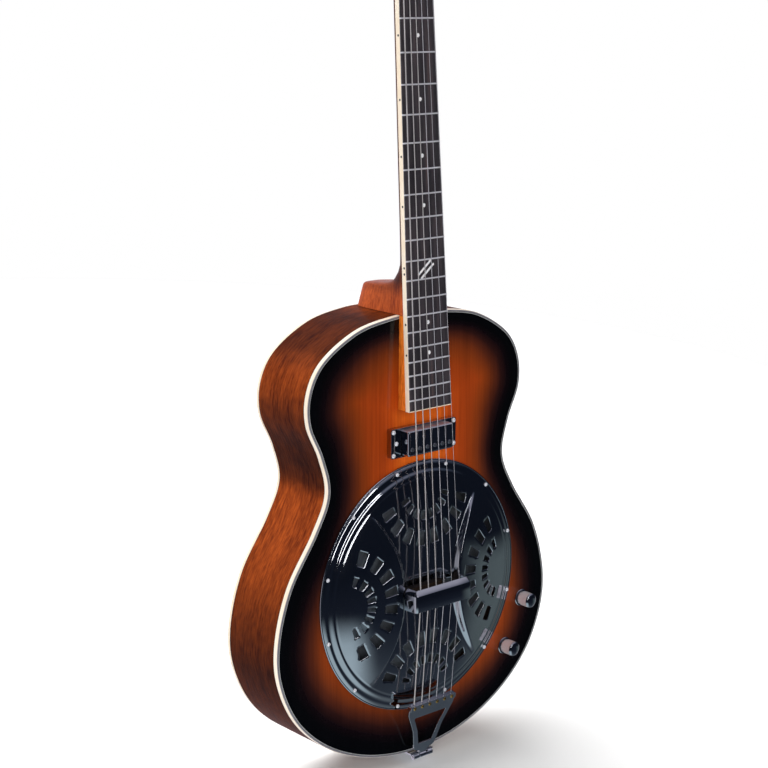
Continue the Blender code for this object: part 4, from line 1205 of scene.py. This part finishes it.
def make_resonator():
    """The coverplate with its rolled edge and screws, the cone behind it and the palm rest."""
    front = at((0, 0, PLATE_CENTRE_Z), FACING_FRONT)
    holes = fan_slots() + [rectangle(*SADDLE_WINDOW, radius=1.0)]
    rings = [circle(0, PLATE_CENTRE_Z, COVER_CREASE + step, 240)
             for step in (-6, -3.5, -1.8, -0.4, 0.4, 1.6, 2.8, 4, 5.2, 6.4, 7.6, 8.8, 10, 11.2,
                          12.4, 13.8)]
    dome = sheet(circle(0, PLATE_CENTRE_Z, COVER_RADIUS - 1.0, 240), holes,
                 lambda x, z: -cover_height(x, z), lambda x, z: 1.0 - cover_height(x, z),
                 spacing=1.9, lip=0.5, folds=valley_folds() + [ring + ring[:1] for ring in rings])
    piece("coverplate_dome", dome, "cover", ["coverplate"], angle=40)
    edge = circle(COVER_RADIUS - 1.2, 1.5, 1.2, 12)
    piece("coverplate_edge", turned(edge, front, 160), "cover", angle=60)
    mesh = screw_mesh("cover_screw", 2.0, 1.5)
    for number in range(COVER_SCREWS):
        angle = math.tau * (number + 0.5) / COVER_SCREWS
        x = COVER_SCREW_CIRCLE * math.cos(angle)
        z = PLATE_CENTRE_Z + COVER_SCREW_CIRCLE * math.sin(angle)
        set_screw(f"cover_screw_{number + 1:02d}", mesh, (x, -cover_height(x, z) - 0.1, z),
                  0.7 * number)
    make_cone(front)
    make_palm_rest()


def make_cone(place):
    """A spun cone: a flat flange, a rolled shoulder and fine steps up to the biscuit."""
    flange, top = -CONE_LEDGE_Y + GAP, -CONE_APEX_Y - CONE_SHEET
    shoulder = flange + 3
    steps = 60
    path = [(CONE_RADIUS, flange), (111.5, flange), (CONE_SHOULDER, shoulder)]
    for i in range(1, steps):
        t = i / steps
        climb = shoulder + (top - shoulder) * min(t / 0.56, 1.0) ** 0.9
        path.append((CONE_SHOULDER + (CONE_TOP - CONE_SHOULDER) * t,
                     min(climb, top) - 0.25 * (1 + math.cos(i * math.pi))))
    path += [(CONE_TOP, top), (0, top)]
    shell = [(radius, height + CONE_SHEET) for radius, height in path]
    piece("spun_cone", turned(shell[::-1] + path, place, 96), "aluminium", ["cone"],
          angle=60)


def make_palm_rest():
    """A bent strap over the saddle with one long edge folded down, and its screw."""
    foot = -cover_height(38.0, 0) - 0.8
    corner = [(38.6, foot), (38.1, -34.0), (37.8, -35.4), (37.1, -36.7), (36.1, -37.6),
              (34.8, PALM_REST_Y)]
    path = corner + [(x, PALM_REST_Y) for x in (20, 10, 0, -10, -20)]
    path += [(-x, y) for x, y in corner[::-1]]
    section = [(-11.0, 1.6), (-11.0, 0.7), (-10.6, 0.2), (-9.9, 0.0), (6.0, 0.0), (6.6, 0.25),
               (10.7, 3.9), (11.0, 4.5), (10.6, 5.0), (6.0, 1.4), (-9.9, 1.4)]
    rings = []
    for i, (x, y) in enumerate(path):
        before, after = path[max(i - 1, 0)], path[min(i + 1, len(path) - 1)]
        along = Vector((after[0] - before[0], after[1] - before[1])).normalized()
        inward = Vector((along.y, -along.x))
        if i in (0, len(path) - 1):
            inward = Vector((-1 if x > 0 else 1, 0))
        rings.append([(x + inward.x * deep, y + inward.y * deep, z) for z, deep in section])
    piece("palm_rest_strap", lofted(rings), "cover", ["palm_rest"], angle=28)
    set_screw("palm_rest_screw", screw_mesh("strap_screw", 2.6, 0.9),
              (0, PALM_REST_Y + 0.92, -2.0), 0.4)


# ---------------------------------------------------------------- pickup and controls
def make_pickup():
    """A plate with its screws, and the cover that slides in it with a screw for each string."""
    z = PICKUP_Z
    plate = sheet(rectangle(*PICKUP_PLATE, z, 2.5), [rectangle(*PLATE_WINDOW, z, 1.2)], PLATE_FACE,
                  -GAP)
    piece("pickup_frame", plate, "cover", ["pickup_surround"], bevel=0.9)
    wide, high = PICKUP_COVER
    cover = box((-wide, PICKUP_FACE, z - high), (wide, 4, z + high))
    shell = piece("pickup_shell", cover, "cover", ["pickup_cover"], body="pickup",
                  bevel=2.2)
    # painted light: the faces that look up take a satin copy of the chrome, which the lamps light
    shell.data.materials.append(MATERIALS["satin_painted_light"])
    for face in shell.data.polygons:
        face.material_index = int(face.normal.z > 0.9)
    pole = screw_mesh("pole_screw", 1.7, 0.7, 1)
    for index, name in enumerate(STRING_NAMES):
        set_screw(f"pole_screw_{name}", pole, (string_x(index, POLE_SPREAD), PICKUP_FACE, z - 6),
                  0.5 * index, body="pickup")
    head = screw_mesh("frame_screw", 2.3, 1.5)
    sunk = PLATE_FACE - 0.1
    for side, name in SIDES:
        x = side * PLATE_SCREW_X
        for level, up in (("low", -PLATE_SCREW_UP), ("high", PLATE_SCREW_UP)):
            set_screw(f"frame_screw_{name}_{level}", head, (x, sunk, z + up), x + up)
        set_screw(f"height_screw_{name}", head, (side * HEIGHT_SCREW_X, sunk, z), 0.3)


def make_knobs():
    """Knurled barrels with a domed end and a plain skirt."""
    def knurl(radius, height, angle):
        if 4.9 < height < 15.2 and radius > 7:
            return radius - 0.32 * (0.5 + 0.5 * math.cos(KNOB_TEETH * angle))
        return radius

    r = KNOB_RADIUS
    profile = [(0, 17), (2.5, 16.95), (4.6, 16.75), (6.1, 16.35), (6.9, 15.9), (7.2, 15.6),
               (r - 0.1, 15.3), (r, 15.0), (r, 10.0), (r, 5.0), (r - 0.1, 4.6), (7.2, 4.3),
               (7.3, 3.9), (7.2, 2.8), (3.3, 2.8), (3.3, 13.8), (0, 13.8)]
    washer = [(9.0, 0.3), (9.0, 0.8), (8.6, 1.1), (3.6, 1.1), (3.6, 0.3)]
    for name, (x, z) in KNOBS.items():
        place = at((x, 0, z), FACING_FRONT)
        barrel = piece(f"{name}_barrel", turned(profile, place, KNOB_TEETH * 4, knurl),
                       "knob", [f"{name}_knob"], body=f"{name}_control", angle=32)
        barrel.data.materials.append(MATERIALS["cover"])
        for face in barrel.data.polygons:
            face.material_index = int((TOP_Y - face.center.y) / MM > 15.1)
        piece(f"{name}_washer", turned(washer, place), "chrome")


def make_jack():
    """The output jack's round plate, hexagonal nut and socket."""
    side = max(x for x, _ in body_outline())
    place = at((side, BODY_DEPTH / 2, JACK_Z), FACING_TREBLE)
    sleeve = [(5.6, -31), (5.6, 0.4), (10.5, 0.4), (10.5, 0.7), (10.0, 1.2), (6.4, 1.3),
              (4.4, 1.3), (4.4, 2.9), (3.9, 3.0), (3.3, 2.8), (3.3, -29)]
    piece("jack_sleeve", turned(sleeve, place), "chrome", ["output_jack"])
    nut = [(7.0, 1.3), (7.0, 2.2), (6.5, 2.5), (4.5, 2.5), (4.5, 1.3)]
    piece("jack_nut", turned(nut, place, 6), "chrome", bevel=0.15)


# ---------------------------------------------------------------- tailpiece and end pin
def make_tailpiece():
    """A leaning plate with a window, the bar that holds the strings' ends, and a hinge."""
    lean = TAILPIECE_BAR - TAILPIECE_HINGE
    length = lean.length
    turn = Matrix.Rotation(math.atan2(-lean.y, lean.z), 3, "X")
    outline = rounded(mirrored([(4.6, 1), (4.6, 6), (14, 10), (20, 34), (31, length - 8),
                                (31, length)]), 3.0)
    window = rounded(mirrored([(6, 16), (9, 16), (14, 34), (22, length - 14),
                               (6, length - 14)]), 2.5)
    plate = sheet(outline, [window], -0.9, 0.9, place=at(TAILPIECE_HINGE, turn))
    piece("tailpiece_plate", plate, "chrome", ["tailpiece"], bevel=0.3)
    bar = sheet(rectangle(31, 3.5, 0, 2.4), (), -2.6, 2.6, place=at(TAILPIECE_BAR, turn))
    piece("tailpiece_bar", bar, "chrome", bevel=0.8)
    knuckle = [(1.4, -4.6), (2.6, -4.6), (2.9, -4.3), (2.9, 4.3), (2.6, 4.6), (1.4, 4.6)]
    piece("tailpiece_knuckle", turned(knuckle, at(TAILPIECE_HINGE, FACING_TREBLE), 32),
          "chrome")
    collar = [(0, 0.9), (1.2, 0.9), (1.7, 0.6), (1.9, 0), (1.9, -0.6), (0, -0.6)]
    for index, name in enumerate(STRING_NAMES):
        spot = TAILPIECE_BAR + turn @ Vector((string_x(index, TAILPIECE_SPREAD), -2.6, 0))
        piece(f"string_collar_{name}", turned(collar, at(spot, turn @ FACING_FRONT), 24),
              "brass")


def make_end_pin():
    """The strap button below the body, with its shank in the tail block."""
    face = -BODY_BELOW_BRIDGE - END_PIN_LENGTH
    profile = [(0, face), (7.6, face), (8.7, face + 0.4), (9, face + 1.3), (8.6, face + 2.4),
               (7.0, face + 3.4), (5.2, face + 4.6), (4.6, face + 6.2), (5.0, face + 8.4),
               (5.0, -180.3), (3.6, -180.3), (3.0, -156), (0, -156)]
    piece("strap_pin", turned(profile, at((0, BODY_DEPTH / 2, 0)), 40), "chrome",
          ["end_pin"])


# ---------------------------------------------------------------- tuners and strings
def make_tuners():
    """Posts in bushings in front, buttons out to the sides, and the plates' screws behind."""
    facing = HEAD_TURN @ FACING_FRONT
    backwards = HEAD_TURN @ Matrix.Rotation(math.radians(-90), 3, "X")
    outwards = {"bass": HEAD_TURN @ FACING_BASS, "treble": HEAD_TURN @ FACING_TREBLE}
    bushing = [(5.0, -0.6), (5.0, 0.3), (4.7, 0.8), (4.1, 1.0), (3.7, 0.9), (3.6, 0.4),
               (3.6, -0.6)]
    screw = screw_mesh("tuner_screw", 1.9, 0.9, 1, "chrome")
    for side, name in SIDES:
        for number, along in enumerate(POST_PLACES, 1):
            label = f"{name}_{number}"
            place = at(head_point(side * POST_X, 0, along), facing)
            make_post(label, place)
            make_button(label, at(head_point(0, GEAR_Y, along + WORM_OFFSET), outwards[name]))
            piece(f"bushing_{label}", turned(bushing, place, 32), "chrome")
        for number, along in enumerate(TUNER_SCREW_PLACES, 1):
            set_screw(f"tuner_screw_{name}_{number}", screw, head_point(side * POST_X, 16.5, along),
                      number, backwards)


def make_post(label, place):
    """A string post with a waist and a domed end, and a cut gear behind."""
    back = -GEAR_Y

    def cut_teeth(radius, height, angle):
        if radius > 5:
            return radius - 0.45 * (0.5 - 0.5 * math.cos(GEAR_TEETH * angle))
        return radius

    profile = [(0, 17), (1.6, 17), (2.4, 16.8), (2.9, 16.2), (3.0, 15.0), (3.0, 12.4),
               (2.75, 11.6), (2.6, 9.0), (2.6, 6.4), (2.8, 5.2), (3.0, 4.6), (3.0, back + 2.2),
               (5.6, back + 2), (GEAR_RADIUS, back + 1.7), (GEAR_RADIUS, back - 1.7),
               (5.6, back - 2), (2.4, back - 2), (2.4, back - 2.6), (2, back - 3), (0, back - 3)]
    piece(f"post_{label}_gear", turned(profile, place, 90, cut_teeth), "steel",
          [f"tuner_post_{label}"], body=f"post_{label}", angle=40)


def make_button(label, place):
    """A shaft with a cut worm and a collar, and a flat rounded grip on its end."""
    def thread(radius, height, angle):
        if radius > 2.5 and 17.4 < height < 26.8:
            turn = angle + math.tau * height / WORM_PITCH
            return radius - 0.5 * (0.5 - 0.5 * math.cos(turn))
        return radius

    def eased(value):
        return math.copysign(abs(value) ** 0.8, value)

    shaft = [(0, 13), (1.4, 13), (1.6, 13.2), (1.6, 16.6), (2.7, 17.0)]
    shaft += [(WORM_RADIUS, 17.2 + 0.35 * i) for i in range(29)]
    shaft += [(1.6, 27.5), (1.6, 30.9), (2.4, 31.0), (2.4, 32.0), (1.7, 32.6), (1.7, 38),
              (2.9, 39.5), (3.0, 42.5), (2.0, 44), (0, 44)]
    tool = turned(shaft, place, 36, thread)
    rings = []
    steps = 26
    for i in range(steps + 1):
        t = -1 + 2 * i / steps
        swell = max(1 - abs(t) ** 2.6, 0.0) ** (1 / 2.6) or 0.02
        waist = 1 - 0.1 * math.exp(-((t + 0.75) / 0.25) ** 2)
        rings.append([(4.5 * swell * waist * eased(math.cos(a)),
                       8.4 * swell * waist * eased(math.sin(a)), 51 + 7.9 * t)
                      for a in ring_angles(36)])
    lofted(rings, tool, place)
    piece(f"button_{label}_grip", tool, "chrome", [f"tuner_button_{label}"],
          body=f"button_{label}", angle=40)


def make_strings():
    """Six strings from the tailpiece to their posts, with three turns round each post."""
    for index, (name, radius) in enumerate(zip(STRING_NAMES, STRING_RADII)):
        side, side_name = SIDES[index // 3]
        number = min(index, 5 - index)
        along = POST_PLACES[number]
        start = TAILPIECE_BAR + Vector((string_x(index, TAILPIECE_SPREAD), -1, 4))
        saddle = Vector((string_x(index, STRING_SPREAD_SADDLE), STRING_Y_AT_SADDLE, 0))
        nut = Vector((string_x(index, STRING_SPREAD_NUT), STRING_Y_AT_NUT, NUT_CREST_Z))
        post = head_point(side * (POST_X - POST_RADIUS - radius - 0.1),
                          -WRAP_HEIGHT - 2.1 * radius, along)
        route = [start, start.lerp(saddle, 0.96), saddle, saddle.lerp(nut, 0.01),
                 saddle.lerp(nut, 0.5), saddle.lerp(nut, 0.995), nut, nut.lerp(post, 0.05), post]
        slot, look = ("bronze", "wound") if index < WOUND_STRINGS else ("steel", "plain")
        piece(f"string_{name}_run", tube(route, radius, 12), look, [f"string_{name}"],
              angle=60)
        piece(f"string_{name}_wraps", tube(wraps(radius, side, along), radius, 8), look,
              body=f"post_{side_name}_{number + 1}", angle=60)


def wraps(radius, side, along):
    """The line of a string's turns round its post, one behind the other."""
    turns, steps = 3, 20
    reach = POST_RADIUS + radius
    return [head_point(side * (POST_X - reach * math.cos(math.tau * i / steps)),
                       -WRAP_HEIGHT + radius * 2.05 * i / steps,
                       along + reach * math.sin(math.tau * i / steps))
            for i in range(turns * steps + 1)]


# ---------------------------------------------------------------- carried-over CAD nodes
def finish_cad_nodes():
    """Materials for the CAD nodes that stay in view."""
    looks = {
        "bone": ("nut",),
        # painted shade: these parts lie in shade behind the slots and under the palm rest
        "shade_dark_wood": ("saddle", "biscuit", "soundwell"),
        "maple": ("top_lining", "back_lining"),
        "spruce": ("back_brace_upper", "back_brace_lower"),
        "block": ("neck_block", "tail_block"),
        "black": ("truss_rod_cover", "pickup_coil"),
        "steel": ("truss_rod", "hinge_pin", "pickup_pole_rail", "volume_pot", "tone_pot",
                  "volume_shaft", "tone_shaft"),
        "chrome": ("tailpiece_bracket", "tuner_plate_bass", "tuner_plate_treble"),
    }
    for look, names in looks.items():
        for name in names:
            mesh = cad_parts[name].data
            mesh.materials.clear()
            mesh.materials.append(MATERIALS[look])


# ---------------------------------------------------------------- studio
WHITE = (1, 1, 1, 1)
CAMERA_PLACE = Vector((-1.10869, -1.27004, 0.76656))
CAMERA_YAW = math.radians(40.817)
CAMERA_PITCH = math.radians(12.454)
CAMERA_ROLL = math.radians(0.191)
CAMERA_LENS = 80.13
ROOM_RISE = (                # what polished metal sees, from straight down (0) to straight up (1)
    (0.0, srgb(120, 130, 136)), (0.2, srgb(62, 70, 80)), (0.3, srgb(32, 38, 50)),
    (0.42, srgb(21, 26, 37)), (0.6, srgb(22, 27, 38)), (0.68, srgb(74, 82, 98)),
    (0.84, srgb(186, 184, 200)), (1.0, srgb(214, 214, 224)))
ROOM_FLOOR = srgb(196, 216, 224)      # a light floor, seen low down ahead
ROOM_RIGHT = srgb(100, 112, 114)
ROOM_LEFT = srgb(206, 206, 216)
ROOM_LEFT_HIGH = srgb(30, 35, 46)
ROOM_BEHIND = srgb(214, 208, 222)


def make_camera():
    """A camera on the bass side that looks down a little, where the photograph's was."""
    data = bpy.data.cameras.new("camera")
    data.lens = CAMERA_LENS
    data.sensor_width = 36
    camera = linked("camera", data)
    turn = (Matrix.Rotation(-CAMERA_YAW, 4, "Z") @ Matrix.Rotation(math.pi / 2 - CAMERA_PITCH, 4, "X")
            @ Matrix.Rotation(-CAMERA_ROLL, 4, "Z"))
    camera.matrix_world = Matrix.Translation(CAMERA_PLACE) @ turn
    bpy.context.scene.camera = camera


def softbox(name, place, target, size, power, mirrored=False, roll=0.0):
    """A rectangular light of a power in watts; only a mirrored one shows in polished metal."""
    data = bpy.data.lights.new(name, "AREA")
    data.shape = "RECTANGLE"
    data.size, data.size_y = size
    data.energy = power
    light = linked(name, data)
    light.visible_glossy = mirrored
    light.location = place
    turn = (Vector(target) - Vector(place)).to_track_quat("-Z", "Y").to_matrix()
    light.rotation_euler = (turn @ Matrix.Rotation(roll, 3, "Z")).to_euler()


def make_floor():
    """A round pale floor whose near edge lies just in front of the guitar."""
    tool = bmesh.new()
    bmesh.ops.create_circle(tool, cap_ends=True, segments=128, radius=2.0)
    floor = linked("floor", mesh_from("floor", tool))
    floor.data.materials.append(MATERIALS["floor"])
    floor.location = (0, 1.58, -0.001)
    floor.visible_glossy = False


def make_world():
    """A white backdrop to look at, an even fill, and a dark room for metal to mirror."""
    world = bpy.data.worlds.new("studio")
    bpy.context.scene.world = world
    r = Recipe(world)
    r.tree.nodes.clear()
    x, y, z = r.split(r.node("TexCoord", {}).outputs["Generated"])
    rise = r.node("Math", {0: z, 1: 0.5, 2: 0.5}, operation="MULTIPLY_ADD").outputs[0]

    def fade(value, start, end):
        """0 up to start and 1 from end on, smoothly."""
        return r.node("MapRange", {"Value": value, "From Min": start, "From Max": end},
                      interpolation_type="SMOOTHSTEP").outputs["Result"]

    def both(first, second):
        return r.math("MULTIPLY", first, second)

    def light(colour, strength=1.0):
        return r.node("Background", {"Color": colour, "Strength": strength}).outputs[0]

    right = both(fade(x, 0.68, 0.84), fade(z, -0.19, -0.3))
    low = both(fade(x, 0.38, 0.14), fade(z, -0.36, -0.56))
    high = both(fade(x, -0.15, -0.5), fade(z, 0.2, 0.38))
    left = both(both(fade(x, -0.25, -0.75), fade(z, 0.25, 0.05)), fade(y, -0.55, -0.3))
    room = r.ramp(rise, ROOM_RISE)
    for part, colour in ((right, ROOM_RIGHT), (low, ROOM_FLOOR), (high, ROOM_LEFT_HIGH),
                         (left, ROOM_LEFT), (fade(y, 0.1, 0.5), ROOM_BEHIND)):
        room = r.mix(part, room, colour)
    rays = r.node("LightPath", {}).outputs
    unseen = r.node("MixShader", {0: rays["Is Glossy Ray"], 1: light(WHITE, 0.3), 2: light(room)})
    seen = r.node("MixShader", {0: rays["Is Camera Ray"], 1: unseen.outputs[0], 2: light(WHITE)})
    r.node("OutputWorld", {"Surface": seen.outputs[0]})


def make_studio():
    """Soft lights in front and at the sides, one behind, and one that whitens the floor."""
    bpy.context.scene.view_settings.view_transform = "Standard"
    make_camera()
    make_floor()
    make_world()
    softbox("key", (-1.5, -2.0, 0.7), (0, 0, 0.35), (1.3, 1.3), 42)
    softbox("strip", (0.07, -1.85, 0.66), (-0.08, 0, 0.28), (0.12, 1.15), 3, True,
            math.radians(-43))
    softbox("side", (1.6, -1.5, 1.0), (0, 0, 0.35), (0.9, 1.2), 9)
    softbox("back", (-0.4, 1.8, 1.8), (0, 0, 0.3), (1.2, 1.2), 6)
    softbox("floor_wash", (0, 1.9, 2.6), (0, 1.9, 0), (4.0, 4.0), 175)


MATERIALS = make_materials()
make_studio()
make_body()
make_neck()
make_fretboard()
make_riser()
make_resonator()
make_pickup()
make_knobs()
make_jack()
make_tailpiece()
make_end_pin()
make_tuners()
make_strings()
finish_cad_nodes()
